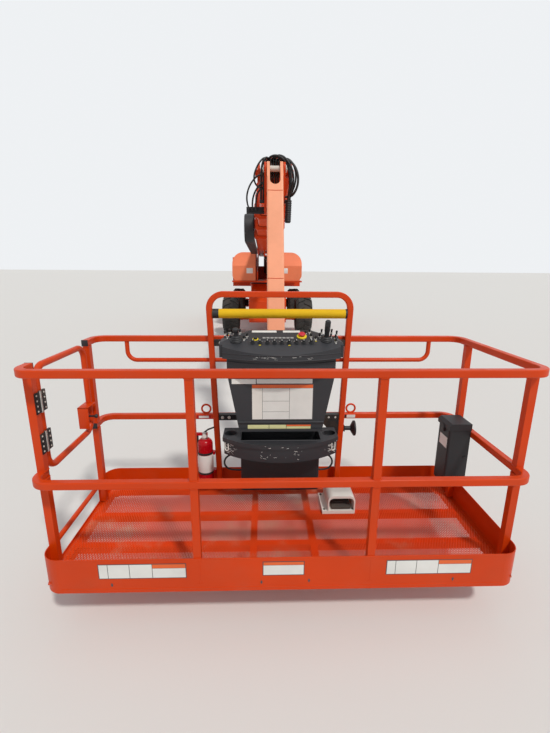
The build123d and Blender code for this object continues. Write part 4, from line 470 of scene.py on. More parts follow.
# The rest of the bundle at the jib's head: name, radius, points from the pin's middle
HEAD_HOSES = [
    ("head_hose_right_1", 0.0105, [
        (-0.062, 0.119, 0.092), (-0.058, 0.06, 0.106), (-0.01, 0.02, 0.12), (0.05, 0.0, 0.106),
        (0.106, -0.006, 0.062), (0.138, 0.006, -0.03), (0.146, 0.026, -0.13), (0.134, 0.044, -0.214),
        (0.128, 0.05, -0.27)]),
    ("head_hose_right_2", 0.0105, [
        (-0.032, 0.119, 0.084), (-0.028, 0.062, 0.1), (0.014, 0.028, 0.112), (0.076, 0.012, 0.1),
        (0.122, 0.01, 0.046), (0.152, 0.022, -0.05), (0.156, 0.04, -0.14), (0.146, 0.056, -0.214),
        (0.146, 0.06, -0.27)]),
    ("head_hose_right_3", 0.01, [
        (0.0, 0.119, 0.094), (0.002, 0.058, 0.112), (0.04, 0.014, 0.122), (0.098, -0.012, 0.092),
        (0.148, -0.022, 0.024), (0.176, -0.016, -0.064), (0.17, 0.006, -0.15), (0.146, 0.032, -0.216),
        (0.124, 0.038, -0.27)]),
    ("head_hose_right_4", 0.01, [
        (0.056, 0.119, 0.08), (0.06, 0.064, 0.092), (0.092, 0.036, 0.084), (0.13, 0.026, 0.04),
        (0.15, 0.03, -0.024), (0.158, 0.044, -0.09), (0.152, 0.058, -0.16), (0.14, 0.07, -0.222),
        (0.136, 0.074, -0.27)]),
    ("head_hose_right_5", 0.009, [
        (0.08, 0.119, 0.092), (0.086, 0.06, 0.1), (0.126, 0.02, 0.092), (0.17, -0.006, 0.046),
        (0.196, -0.014, -0.03), (0.196, -0.004, -0.11), (0.172, 0.024, -0.184), (0.146, 0.046, -0.232),
        (0.142, 0.05, -0.27)]),
    ("head_hose_left_1", 0.008, [
        (-0.08, 0.119, 0.084), (-0.084, 0.062, 0.1), (-0.104, 0.024, 0.098), (-0.14, 0.004, 0.06),
        (-0.176, 0.0, 0.0), (-0.198, 0.01, -0.066), (-0.186, 0.026, -0.126), (-0.146, 0.042, -0.16),
        (-0.099, 0.048, -0.168)]),
    ("head_hose_left_2", 0.008, [
        (-0.099, 0.02, -0.04), (-0.142, 0.014, -0.046), (-0.196, 0.02, -0.084), (-0.244, 0.036, -0.15),
        (-0.268, 0.064, -0.226), (-0.264, 0.11, -0.29), (-0.25, 0.15, -0.322), (-0.248, 0.186, -0.33)]),
    ("head_hose_left_3", 0.0085, [
        (-0.099, 0.044, -0.11), (-0.136, 0.04, -0.124), (-0.178, 0.06, -0.17), (-0.206, 0.092, -0.226),
        (-0.216, 0.132, -0.286), (-0.214, 0.16, -0.322), (-0.214, 0.186, -0.334)]),
    ("head_hose_left_4", 0.0085, [
        (-0.099, 0.07, -0.15), (-0.134, 0.068, -0.16), (-0.164, 0.084, -0.196), (-0.178, 0.112, -0.25),
        (-0.182, 0.142, -0.306), (-0.182, 0.162, -0.33), (-0.182, 0.186, -0.336)]),
    ("head_hose_left_5", 0.01, [
        (-0.07, 0.119, 0.07), (-0.074, 0.07, 0.088), (-0.092, 0.03, 0.076), (-0.104, 0.02, 0.01),
        (-0.106, 0.03, -0.09), (-0.106, 0.052, -0.18), (-0.108, 0.08, -0.24), (-0.108, 0.094, -0.272)]),
    ("head_hose_left_6", 0.01, [
        (-0.048, 0.119, 0.094), (-0.06, 0.06, 0.108), (-0.096, 0.026, 0.1), (-0.124, 0.026, 0.026),
        (-0.128, 0.04, -0.08), (-0.128, 0.062, -0.17), (-0.13, 0.086, -0.236), (-0.13, 0.098, -0.272)]),
]
# Hoses that loop down between the fork's cheeks: their distances across
FORK_HOSES_X = (-0.034, -0.012, 0.011, 0.034)
FORK_HOSE_R = 0.0095


def fork_route(k, x):
    """The loop behind the pin at a distance across; every second one hangs a little lower."""
    drop = 0.006 * (-1) ** k - 0.138
    return [
        (x, 0.119, 0.104), (x, 0.08, 0.092), (x, 0.05, 0.04), (x, 0.046, -0.04), (x, 0.052, -0.104),
        (x, 0.08, drop), (x, 0.12, drop), (x, 0.146, -0.104), (x, 0.15, -0.044),
    ]


def add_cord(name, points, r, body, replaced=None):
    """A hose or cable on a smooth curve through its route, both ends held by the object."""
    curve = bpy.data.curves.new(name, "CURVE")
    curve.dimensions = "3D"
    spline = curve.splines.new("NURBS")
    spline.points.add(len(points) - 1)
    for spot, point in zip(spline.points, points):
        spot.co = (*point, 1.0)
    spline.order_u = 3
    spline.use_endpoint_u = True
    spline.resolution_u = 8
    obj = bpy.data.objects.new(name, curve)
    SCENE.collection.objects.link(obj)
    line = bpy.data.meshes.new_from_object(obj)
    bpy.data.meshes.remove(line)
    curve.bevel_depth = r
    curve.bevel_resolution = 3
    curve.use_fill_caps = True
    curve.materials.append(M["hose"])
    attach(obj, body)
    if replaced:
        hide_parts(replaced)


def hoses():
    add_cord("jib_hose", [nose_at(*p) for p in JIB_HOSE_RIGHT], HOSE_R, "nose", "jib_hose_loop")
    add_cord("cable_left", [at(*p) for p in CONSOLE_CABLE_LEFT], CABLE_R, "platform", "console_cable_left")
    add_cord("cable_right", [at(*p) for p in CONSOLE_CABLE_RIGHT], CABLE_R, "platform", "console_cable_right")
    for name, r, points in HEAD_HOSES:
        add_cord(name, [nose_at(*p) for p in points], r, "nose")
    for k, x in enumerate(FORK_HOSES_X):
        add_cord(f"fork_hose_{k + 1}", [nose_at(*p) for p in fork_route(k, x)], FORK_HOSE_R, "nose")


def hose_fittings():
    """Black ends on the hoses, the sleeve on the right, the bundle's clamps and the jib pin's sleeve."""
    bm = bmesh.new()
    routes = [points for _, _, points in HEAD_HOSES] + [JIB_HOSE_RIGHT]
    routes += [fork_route(k, x) for k, x in enumerate(FORK_HOSES_X)]
    profile = [(0.0, 0.0145), (0.01, 0.0145), (0.011, 0.0125), (0.03, 0.0125), (0.032, 0.011)]
    for a, b, *_ in routes:
        put_turned(bm, nose_at(*a), Vector(b) - Vector(a), profile, 12)
    add_piece("hose_end_fittings", bm, "dark_steel", "nose")
    bm = bmesh.new()
    ribs = [(0.0, 0.024)]
    for k in range(10):
        ribs += [(0.004 + 0.02 * k, 0.031), (0.014 + 0.02 * k, 0.031), (0.018 + 0.02 * k, 0.027)]
    put_turned(bm, nose_at(0.135, 0.052, -0.262), (-0.03, 0.0, -1.0), ribs + [(0.206, 0.024)], 20)
    put_box(bm, nose_at(-0.144, 0.078, -0.284), nose_at(-0.097, 0.11, -0.258), 0.003)
    put_box(bm, nose_at(-0.276, 0.186, -0.372), nose_at(-0.096, 0.196, -0.306), 0.003)
    for x in (-0.248, -0.214, -0.182):
        put_box(bm, nose_at(x - 0.014, 0.172, -0.35), nose_at(x + 0.014, 0.188, -0.316), 0.003)
    put_box(bm, nose_at(0.097, 0.06, -0.286), nose_at(0.114, 0.1, -0.256), 0.002)
    add_piece("hose_sleeve_and_clamps", bm, "black_plastic", "nose")
    bm = bmesh.new()
    put_rod(bm, nose_at(-0.0465, 0, 0), nose_at(0.0465, 0, 0), 0.0268, 28)
    for side in (-1, 1):
        end = side * 0.1012
        put_turned(bm, nose_at(end, 0, 0), (side, 0, 0), [(0.0, 0.032), (0.006, 0.032), (0.009, 0.028)], 28)
        put_bolt(bm, nose_at(end + side * 0.008, 0, 0), (side, 0, 0), 0.01, 0.008)
    add_piece("jib_pin_sleeve", bm, "zinc", "nose")


# Just proud of the jib's front face
JIB_FRONT = 0.0952


def jib_at(along, x, out):
    """A point on the jib from its upper pin: along it, across it, and out towards the platform."""
    return JIB_PIN + JIB_ALONG * along + JIB_OUT * out + Vector((x, 0, 0))


def jib_beads():
    """The weld beads across the jib's front plate."""
    bm = bmesh.new()
    for along in (0.275, 1.1):
        left, right = jib_at(along, -0.068, JIB_FRONT), jib_at(along, 0.068, JIB_FRONT)
        put_tube(bm, [left, jib_at(along + 0.002, 0.0, JIB_FRONT), right], 0.0028, sides=6)
    add_piece("jib_weld_beads", bm, "orange", "jib")


hoses()
hose_fittings()
jib_beads()


# Platform floor, kick plate and rails
def floor_mesh():
    """The platform's floor of expanded metal: zigzag strands that meet at their knots."""
    low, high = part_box("platform_floor_mesh")
    pitch_x, pitch_y = 0.0156, 0.0305
    half_w, top, bottom = 0.0025, high[2], high[2] - 0.0058
    swing_x = pitch_x / 4 - 0.0007
    side_gap, end_gap = 0.02, 0.004
    x0, x1 = low[0] + side_gap, high[0] - side_gap
    y0, y1 = low[1] + end_gap, high[1] - end_gap
    steps = int((y1 - y0) / (pitch_y / 2))
    bm = bmesh.new()
    for c in range(int((x1 - x0) / pitch_x)):
        for side in (-1, 1):
            centre = x0 + (c + 0.5) * pitch_x + side * pitch_x / 4
            rows = []
            for k in range(steps + 1):
                x = centre + side * swing_x * (1 if k % 2 else -1)
                y = y0 + k * pitch_y / 2
                spots = ((x - half_w, y, bottom), (x, y, top), (x + half_w, y, bottom))
                rows.append([bm.verts.new(spot) for spot in spots])
            for a, b in zip(rows, rows[1:]):
                for i in range(3):
                    j = (i + 1) % 3
                    bm.faces.new((a[i], a[j], b[j], b[i]))
            bm.faces.new(rows[0])
            bm.faces.new(list(reversed(rows[-1])))
    piece = add_piece("floor_expanded_metal", bm, "mesh_orange", "platform")
    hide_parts("platform_floor_mesh")


# Blank plates on a front face, by material: x from, x to, z from, z to, how proud
KICK_PLATES = {
    "line": [
        (-0.93, -0.493, 0.084, 0.17, 0.0006), (0.517, 0.958, 0.084, 0.17, 0.0006),
        (-0.111, 0.1, 0.09, 0.173, 0.0006),
    ],
    "plate": [
        (-0.926, -0.884, 0.088, 0.166, 0.0012), (-0.881, -0.777, 0.088, 0.166, 0.0012),
        (-0.774, -0.664, 0.088, 0.166, 0.0012), (-0.661, -0.497, 0.088, 0.142, 0.0012),
        (0.521, 0.563, 0.088, 0.166, 0.0012), (0.566, 0.67, 0.088, 0.166, 0.0012),
        (0.673, 0.783, 0.088, 0.166, 0.0012), (0.786, 0.954, 0.088, 0.142, 0.0012),
        (-0.107, 0.096, 0.094, 0.15, 0.0012),
    ],
    "stripe": [
        (-0.661, -0.497, 0.144, 0.166, 0.0012), (0.786, 0.954, 0.144, 0.166, 0.0012),
        (-0.107, 0.096, 0.152, 0.169, 0.0012),
    ],
}
LABEL_PLATES = {
    "line": [(-0.179, 0.195, 0.697, 0.926, 0.0008)],
    "pale_yellow": [
        (-0.203, -0.074, 0.632, 0.664, 0.0014), (-0.071, 0.032, 0.632, 0.664, 0.0014),
        (0.035, 0.184, 0.632, 0.653, 0.0014),
    ],
    "plate": [
        (-0.296, -0.152, 0.927, 0.957, 0.0014), (-0.147, 0.187, 0.929, 0.957, 0.0014),
        (-0.112, 0.05, 0.819, 0.899, 0.0014), (-0.112, 0.05, 0.751, 0.817, 0.0014),
        (-0.112, 0.05, 0.701, 0.749, 0.0014), (0.052, 0.191, 0.701, 0.899, 0.0014),
    ],
    "stripe": [(-0.175, 0.191, 0.901, 0.922, 0.0016), (0.035, 0.184, 0.655, 0.664, 0.0014)],
    "white": [(-0.175, -0.114, 0.701, 0.899, 0.0014)],
}
RAIL_TAGS = {
    "black_plastic": [(0.455, 0.47, 0.59, 0.612, 0.0012)],
    "plate": [(0.473, 0.532, 0.59, 0.612, 0.0012), (-0.552, -0.484, 0.592, 0.608, 0.0016)],
    "red": [(-0.566, -0.47, 0.588, 0.612, 0.001)],
}


def front_plates(name, plates, y):
    """Blank plates on an upright face of the platform that looks forward, one piece for each material."""
    for material, rows in sorted(plates.items()):
        bm = bmesh.new()
        for x0, x1, z0, z1, proud in rows:
            put_box(bm, at(x0, y - proud, z0), at(x1, y + 0.0004, z1))
        add_piece(f"{name}_{material}", bm, material, "platform")


def kick_plate_trim():
    """The folded edges and the upright seams of the kick plate, and dark discs at its drain slots that paint the
    shade inside them.
    """
    bm = bmesh.new()
    run = KICK_HIGH[0] - 0.1
    put_rod(bm, at(-run, 0.0005, 0.021), at(run, 0.0005, 0.021), 0.0026, 8)
    put_rod(bm, at(-run, 0.0015, 0.193), at(run, 0.0015, 0.193), 0.0032, 8)
    for x in (-0.425, 0.436):
        put_rod(bm, at(x, 0.0004, 0.05), at(x, 0.0004, 0.19), 0.0014, 6)
        put_box(bm, at(x - 0.016, -0.0008, 0.046), at(x + 0.016, 0.001, 0.05))
    add_piece("kick_plate_folds", bm, "orange", "platform")
    # Dark discs and bars painted as the shade inside the drain slots
    bm = bmesh.new()
    for x, z in ((-0.869, 0.047), (-0.117, 0.05), (0.125, 0.055), (0.869, 0.05)):
        put_turned(bm, at(x, 0.0006, z), (0, -1, 0), [(0.0, 0.006), (0.0012, 0.006)], 12)
        put_box(bm, at(x - 0.003, -0.0008, z - 0.01), at(x + 0.003, 0.001, z + 0.01))
    add_piece("kick_plate_slot_shade", bm, "line", "platform")


# The posts' places: x, depth from the platform's front
POSTS = [(-1.197, 0.124), (-1.197, 0.746), (1.197, 0.124), (1.197, 0.746), (-0.437, 0.023), (0.437, 0.023)]
POST_HALF = 0.019
BEAD_LEVELS = (0.053, 0.581, 0.621, 1.125)


def rail_trim():
    """Weld beads round the posts, and the black end caps of the rails at the gate."""
    bm = bmesh.new()
    reach = POST_HALF + 0.001
    corner = 0.005
    for x, y in POSTS:
        for z in BEAD_LEVELS:
            ring = []
            for sx, sy in ((1, 1), (-1, 1), (-1, -1), (1, -1)):
                a = (sx * reach, sy * (reach - corner))
                b = (sx * (reach - corner), sy * reach)
                pair = (a, b) if sx == sy else (b, a)
                ring += [at(x + px, y + py, z) for px, py in pair]
            put_tube(bm, ring, 0.0032, closed=True, sides=6)
    add_piece("post_weld_beads", bm, "orange", "platform")
    bm = bmesh.new()
    for z_top in (1.164, 0.62):
        for y0, y1 in ((0.143, 0.147), (0.723, 0.727)):
            low, high = at(-1.2205, y0, z_top - 0.0385), at(-1.1815, y1, z_top + 0.0005)
            put_box(bm, low, high, 0.001)
    add_piece("rail_end_caps", bm, "black_plastic", "platform")


def gate_trim():
    """The two butt hinges with their screws, and the folded guard round the gate's latch."""
    plates = bmesh.new()
    barrels = bmesh.new()
    screws = bmesh.new()
    face = -1.1772
    for z in (0.765, 0.97):
        put_box(plates, at(face - 0.001, 0.107, z - 0.052), at(face + 0.004, 0.15, z + 0.052), 0.001)
        put_box(plates, at(face - 0.008, 0.156, z - 0.052), at(face + 0.003, 0.2, z + 0.052), 0.001)
        put_rod(barrels, at(face + 0.003, 0.153, z - 0.054), at(face + 0.003, 0.153, z + 0.054), 0.0062, 14)
        for row in range(4):
            for y, x in ((0.119, face + 0.004), (0.185, face + 0.003)):
                spot = at(x, y, z - 0.039 + 0.026 * row)
                put_turned(screws, spot, (1, 0, 0), [(0.0, 0.0048), (0.0018, 0.0044), (0.0026, 0.0022)], 12)
    add_piece("hinge_leaves", plates, "dark_steel", "platform")
    add_piece("hinge_barrels", barrels, "steel", "platform")
    add_piece("hinge_screws", screws, "zinc", "platform")
    bm = bmesh.new()
    put_box(bm, at(-1.226, 0.585, 0.772), at(-1.164, 0.7, 0.776), 0.001)
    put_box(bm, at(-1.226, 0.585, 0.64), at(-1.164, 0.589, 0.776), 0.001)
    add_piece("latch_guard", bm, "orange", "gate")
    bm = bmesh.new()
    put_rod(bm, at(-1.188, 0.64, 0.703), at(-1.15, 0.64, 0.703), 0.006, 12)
    put_turned(bm, at(-1.152, 0.64, 0.703), (1, 0, 0), [(0.0, 0.009), (0.01, 0.013), (0.018, 0.01)], 16)
    add_piece("latch_knob", bm, "black_plastic", "gate")


floor_mesh()
front_plates("kick_plates", KICK_PLATES, 0.0)
front_plates("rail_tags", RAIL_TAGS, 0.877)
kick_plate_trim()
rail_trim()
gate_trim()


# Console
CONSOLE_LOW, CONSOLE_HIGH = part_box("console")
PANEL_RISE = 0.1
PANEL_RUN = CONSOLE_HIGH[1] - CONSOLE_LOW[1]
PANEL_UP = Vector((0, -PANEL_RISE, PANEL_RUN)).normalized()
LIP_HALF = 0.345
LIP_BOW = 0.085
MARK_THICK = 0.0012
KNOB_TOP = 0.0228
# Each kind of control: its places across and back
CONTROLS = {
    "knob": [
        (-0.17, 0.602), (-0.127, 0.6), (-0.084, 0.6), (-0.041, 0.598), (0.002, 0.598), (0.045, 0.598),
        (0.088, 0.6), (0.131, 0.6), (0.176, 0.602),
    ],
    "toggle": [
        (-0.3, 0.64), (0.18, 0.665), (0.322, 0.61), (-0.322, 0.664), (-0.205, 0.668), (0.205, 0.64),
        (0.232, 0.668), (0.3, 0.662), (0.326, 0.65), (-0.222, 0.64), (-0.34, 0.694), (-0.312, 0.712),
        (-0.284, 0.7), (-0.25, 0.712), (0.34, 0.694), (0.312, 0.712), (0.284, 0.7), (0.25, 0.712),
        (0.15, 0.7), (0.176, 0.716),
    ],
    "key": [(-0.154, 0.64)],
    "stop": [(0.125, 0.668)],
    "stick": [(-0.268, 0.625)],
    "handle": [(0.268, 0.628)],
}
YELLOW_MARKS = [
    (-0.3, 0.618), (-0.322, 0.688), (0.205, 0.618), (0.326, 0.628), (-0.127, 0.574), (0.045, 0.572),
]
# Each control: material, then its turned profile of (height, radius)
CONTROL_FORMS = {
    "knob": [("panel", [(0.0, 0.0165), (0.003, 0.0165), (0.004, 0.013), (0.01, 0.0125), (0.011, 0.009),
                        (0.021, 0.0082), (0.0225, 0.006)])],
    "toggle": [("zinc", [(0.0, 0.0085), (0.004, 0.0085), (0.005, 0.006)]),
               ("panel", [(0.004, 0.0055), (0.01, 0.005), (0.024, 0.007), (0.027, 0.005), (0.028, 0.0)])],
    "key": [("safety_yellow", [(0.0, 0.0175), (0.003, 0.0175), (0.004, 0.016)]),
            ("panel", [(0.003, 0.0115), (0.014, 0.0105), (0.016, 0.007), (0.0165, 0.0)])],
    "stop": [("safety_yellow", [(0.0, 0.03), (0.006, 0.03), (0.008, 0.027)]),
             ("stop_red", [(0.008, 0.012), (0.014, 0.012), (0.015, 0.02), (0.021, 0.022), (0.025, 0.018),
                           (0.0265, 0.0)])],
    "stick": [("black_plastic", [
        (0.0, 0.038), (0.005, 0.038), (0.008, 0.033), (0.012, 0.036), (0.017, 0.028), (0.021, 0.031),
        (0.026, 0.022), (0.03, 0.025), (0.036, 0.014), (0.056, 0.012), (0.06, 0.016), (0.07, 0.019),
        (0.08, 0.017), (0.084, 0.008), (0.085, 0.0)])],
    "handle": [("black_plastic", [
        (0.0, 0.034), (0.006, 0.034), (0.009, 0.028), (0.013, 0.03), (0.018, 0.023), (0.022, 0.025),
        (0.028, 0.015), (0.06, 0.0145), (0.064, 0.0165), (0.092, 0.0168), (0.126, 0.0165),
        (0.133, 0.012), (0.1345, 0.0)])],
}


def on_panel(x, y, h=0.0):
    """A point on the console's sloping panel, or above it along its normal."""
    z = CONSOLE_HIGH[2] - FOOT_Z - PANEL_RISE * (CONSOLE_HIGH[1] - FRONT_Y - y) / PANEL_RUN
    return at(x, y, z) + PANEL_UP * h


def panel_slab(bm, x0, x1, y0, y1, thick, lift=0.0):
    """A thin slab on the panel, or lifted off it."""
    corners = [on_panel(x0, y0, lift), on_panel(x1, y0, lift), on_panel(x1, y1, lift), on_panel(x0, y1, lift)]
    put_slab(bm, corners, thick)


def controls():
    """Knobs, switches, the stop button and the two sticks, in place of the plain CAD ones."""
    meshes = defaultdict(bmesh.new)
    for kind, places in CONTROLS.items():
        sides = 6 if kind == "toggle" else 28
        for material, profile in CONTROL_FORMS[kind]:
            for x, y in places:
                put_turned(meshes[material], on_panel(x, y), PANEL_UP, profile, sides)
    thumb_rest = [
        on_panel(0.256, 0.612, 0.105), on_panel(0.28, 0.612, 0.105), on_panel(0.28, 0.616, 0.132),
        on_panel(0.256, 0.616, 0.132),
    ]
    put_slab(meshes["black_plastic"], thumb_rest, 0.004)
    for material, bm in sorted(meshes.items()):
        piece = add_piece(f"controls_{material}", bm, material, "platform")
        if material == "black_plastic":
            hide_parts("console_controls")


def panel_marks():
    """Pale ticks round the knobs and on their tops, ticks before the switches, and small yellow marks."""
    bm = bmesh.new()
    for x, y in CONTROLS["knob"]:
        panel_slab(bm, x - 0.0012, x + 0.0012, y + 0.018, y + 0.026, MARK_THICK)
        panel_slab(bm, x - 0.014, x - 0.008, y + 0.016, y + 0.019, MARK_THICK)
        panel_slab(bm, x + 0.008, x + 0.014, y + 0.016, y + 0.019, MARK_THICK)
        panel_slab(bm, x - 0.001, x + 0.001, y - 0.008, y + 0.004, 0.0008, KNOB_TOP)
    for x, y in CONTROLS["toggle"]:
        panel_slab(bm, x - 0.004, x + 0.004, y - 0.018, y - 0.013, MARK_THICK)
    add_piece("panel_marks", bm, "plate", "platform")
    bm = bmesh.new()
    for x, y in YELLOW_MARKS:
        panel_slab(bm, x - 0.006, x + 0.006, y, y + 0.006, MARK_THICK)
    add_piece("panel_yellow_marks", bm, "safety_yellow", "platform")


def panel_trim():
    """The dark instrument field, the blank strips behind it and the moulded lines of the lip."""
    bm = bmesh.new()
    panel_slab(bm, -0.196, 0.2, 0.58, 0.622, 0.001)
    panel_slab(bm, -0.12, 0.086, 0.64, 0.668, 0.001)
    panel_slab(bm, -0.345, -0.196, 0.652, 0.676, 0.001)
    panel_slab(bm, 0.196, 0.345, 0.652, 0.676, 0.001)
    add_piece("instrument_fields", bm, "panel", "platform")
    bm = bmesh.new()
    panel_slab(bm, -0.177, -0.026, 0.716, 0.738, 0.0014)
    panel_slab(bm, 0.014, 0.119, 0.716, 0.738, 0.0014)
    for k in range(8):
        x = -0.112 + 0.024 * k
        panel_slab(bm, x, x + 0.018, 0.65, 0.653, 0.0014)
        panel_slab(bm, x, x + 0.018, 0.658, 0.661, 0.0014)
    add_piece("panel_blank_strips", bm, "plate", "platform")
    bm = bmesh.new()
    for z, inset, r in ((1.0905, 0.0, 0.004), (1.1215, -0.001, 0.0035), (1.066, 0.0225, 0.0022)):
        half = LIP_HALF - inset
        xs = [half * (k / 14 - 1) for k in range(29)]
        put_tube(bm, [lip_at(x, z, inset) for x in xs], r)
    put_rod(bm, at(-0.262, 0.578, 0.682), at(0.262, 0.578, 0.682), 0.007, 10)
    add_piece("console_lip_ribs", bm, "console", "platform")


def lip_at(x, z, inset):
    """A point so far inside the bowed front of the console's lip."""
    return at(x, CONSOLE_LOW[1] - FRONT_Y + inset + LIP_BOW * (x / LIP_HALF) ** 2, z)


TRAY_LOW, TRAY_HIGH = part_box("console_tray")
TRAY_HALF = 0.362
TRAY_BOW = 0.13


def tray_at(x, z, proud):
    """A point on the bowed front of the tray's shell."""
    inset = 0.008 if z < TRAY_HIGH[2] - FOOT_Z - 0.026 else 0.0
    return at(x, TRAY_LOW[1] - FRONT_Y + inset - proud + TRAY_BOW * (x / TRAY_HALF) ** 2, z)


SCRAPE_PROUD = 0.0006


def put_scrape(bm, a, b, wide):
    rise = Vector((0, 0, wide))
    put_slab(bm, [a, b, b + rise, a + rise], 0.0004)


def scratches():
    """Pale scrapes on the tray's and the console's front edges, most of them at the tray's ends and left."""
    bm = bmesh.new()
    for k in range(150):
        x = (random.uniform(-0.35, -0.3), random.uniform(0.29, 0.34), random.uniform(-0.28, -0.1),
             random.uniform(-0.34, 0.33))[k % 4]
        z = random.choice((random.uniform(0.553, 0.572), random.uniform(0.48, 0.545)))
        dx, dz = random.uniform(0.004, 0.02), random.uniform(-0.014, 0.014)
        wide = random.uniform(0.0008, 0.0032)
        low, high = (0.551, 0.573) if z > 0.55 else (0.472, 0.546)
        far = min(max(z + dz, low), high)
        put_scrape(bm, tray_at(x, z, SCRAPE_PROUD), tray_at(x + dx, far, SCRAPE_PROUD), wide)
    for _ in range(22):
        x = random.uniform(-0.26, 0.26)
        z = random.uniform(1.098, 1.116)
        dx, wide = random.uniform(0.004, 0.026), random.uniform(0.0005, 0.0014)
        far = z + random.uniform(-0.004, 0.004)
        put_scrape(bm, lip_at(x, z, -SCRAPE_PROUD), lip_at(x + dx, far, -SCRAPE_PROUD), wide)
    add_piece("console_scrapes", bm, "plate", "platform")


def tray_trim():
    """The rolled edges of the cup holders and the trough, and the two pale eyelets on the tray's front."""
    rims = bmesh.new()
    top = TRAY_HIGH[2] - FOOT_Z
    for x in (-0.315, 0.315):
        ring = [at(x + 0.041 * math.cos(a), 0.655 + 0.041 * math.sin(a), top) for a in turns(28)]
        put_tube(rims, ring, 0.0028, closed=True, sides=6)
    trough = [at(x, y, top) for x, y in ((-0.246, 0.546), (0.246, 0.546), (0.246, 0.734), (-0.246, 0.734))]
    put_tube(rims, trough, 0.0028, closed=True, sides=6)
    add_piece("tray_rolled_edges", rims, "console", "platform")
    bm = bmesh.new()
    for x in (-0.336, 0.33):
        hook = []
        for k in range(13):
            turn = math.pi * k / 12
            hook.append(tray_at(x + 0.011 * math.cos(turn), 0.508 - 0.014 * math.sin(turn), 0.006))
        hook = [tray_at(x + 0.011, 0.545, 0.004)] + hook + [tray_at(x - 0.011, 0.545, 0.004)]
        put_tube(bm, hook, 0.0036)
    add_piece("tray_eyelets", bm, "white", "platform")


controls()
panel_marks()
panel_trim()
front_plates("label_box_plates", LABEL_PLATES, 0.58)
tray_trim()
scratches()


# Loose fittings on the platform
def grab_bar_trim():
    bm = bmesh.new()
    low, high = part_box("grab_bar")
    y, z, r = (low[1] + high[1]) / 2, (low[2] + high[2]) / 2, (high[2] - low[2]) / 2
    for x0, x1 in ((low[0] - 0.0008, low[0] + 0.04), (high[0] - 0.012, high[0] + 0.0008)):
        profile = [(0.0, r - 0.002), (0.002, r + 0.0012), (x1 - x0, r + 0.0012)]
        put_turned(bm, (x0, y, z), (1, 0, 0), profile, 32)
    add_piece("grab_bar_ends", bm, "black_plastic", "platform")


def horn_cover():
    """The horn's black bell and its mounting block, over the plain CAD form."""
    bm = bmesh.new()
    profile = [
        (0.0, 0.0148), (0.0445, 0.0148), (0.0455, 0.018), (0.067, 0.053), (0.0768, 0.053),
        (0.0772, 0.047), (0.0768, 0.03), (0.0774, 0.012), (0.078, 0.0),
    ]
    put_turned(bm, at(0.4515, 0.858, 0.52), (1, 0, 0), profile, 32)
    put_box(bm, at(0.449, 0.842, 0.5), at(0.458, 0.874, 0.54), 0.002)
    add_piece("horn_bell", bm, "black_plastic", "platform")


BOTTLE_X, BOTTLE_Y, BOTTLE_R = -0.51, 0.838, 0.052


def bottle_at(x, y, z):
    """A point given from the bottle's axis and the platform's bottom edge."""
    return at(BOTTLE_X + x, BOTTLE_Y + y, z)


def extinguisher_trim():
    """The bottle's blank label, straps, valve, gauge and levers."""
    axis, up, forward = bottle_at(0, 0, 0), (0, 0, 1), (0, -1, 0)
    near, proud = BOTTLE_R + 0.0004, BOTTLE_R + 0.0009
    bm = bmesh.new()
    put_turned(bm, axis, up, [(0.212, near), (0.214, proud), (0.346, proud), (0.348, near)], 48)
    add_piece("bottle_blank_label", bm, "plate", "platform")
    bm = bmesh.new()
    for z in (0.206, 0.352):
        put_turned(bm, axis, up, [(z, BOTTLE_R + 0.0022), (z + 0.014, BOTTLE_R + 0.0022)], 40)
    put_tube(bm, [bottle_at(0, 0, 0.506), bottle_at(0.024, 0, 0.524), bottle_at(0.066, 0, 0.54)], 0.006)
    put_tube(bm, [bottle_at(-0.01, 0, 0.49), bottle_at(-0.062, 0, 0.494)], 0.0065)
    horn = [(0.0, 0.009), (0.02, 0.009), (0.12, 0.007), (0.124, 0.01), (0.156, 0.013)]
    put_turned(bm, bottle_at(-0.052, 0, 0.488), (0, 0, -1), horn, 16)
    add_piece("bottle_levers_and_straps", bm, "black_plastic", "platform")
    bm = bmesh.new()
    valve = [(0.0, 0.022), (0.01, 0.022), (0.012, 0.0185), (0.044, 0.0185), (0.048, 0.012)]
    put_turned(bm, bottle_at(0, 0, 0.458), up, valve, 20)
    put_turned(bm, bottle_at(0, -0.014, 0.486), forward, [(0.0, 0.006), (0.006, 0.017), (0.014, 0.017)], 24)
    add_piece("bottle_valve", bm, "steel", "platform")
    bm = bmesh.new()
    put_turned(bm, bottle_at(0, -0.0282, 0.486), forward, [(0.0, 0.0145), (0.0006, 0.0145)], 24)
    add_piece("bottle_gauge_face", bm, "plate", "platform")


def foot_switch_trim():
    """The ribbed pedal under the foot switch's guard."""
    bm = bmesh.new()
    low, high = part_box("foot_switch")
    x0, x1 = low[0] + 0.062, high[0] - 0.026
    y0, y1 = low[1] + 0.012, high[1] - 0.014
    z = low[2] + 0.022
    put_slab(bm, [Vector((x0, y0, z + 0.006)), Vector((x1, y0, z + 0.006)), Vector((x1, y1, z + 0.034)),
                  Vector((x0, y1, z + 0.034))], 0.01)
    for k in range(9):
        y = y0 + 0.014 + 0.02 * k
        lift = z + 0.016 + 0.028 * (y - y0) / (y1 - y0)
        put_rod(bm, (x0 + 0.004, y, lift), (x1 - 0.004, y, lift), 0.0032, 6)
    for x in (low[0] + 0.014, high[0] - 0.012):
        for y in (low[1] + 0.02, high[1] - 0.02):
            put_bolt(bm, (x, y, z - 0.001), (0, 0, 1), 0.006, 0.006)
    add_piece("pedal", bm, "iron", "platform")


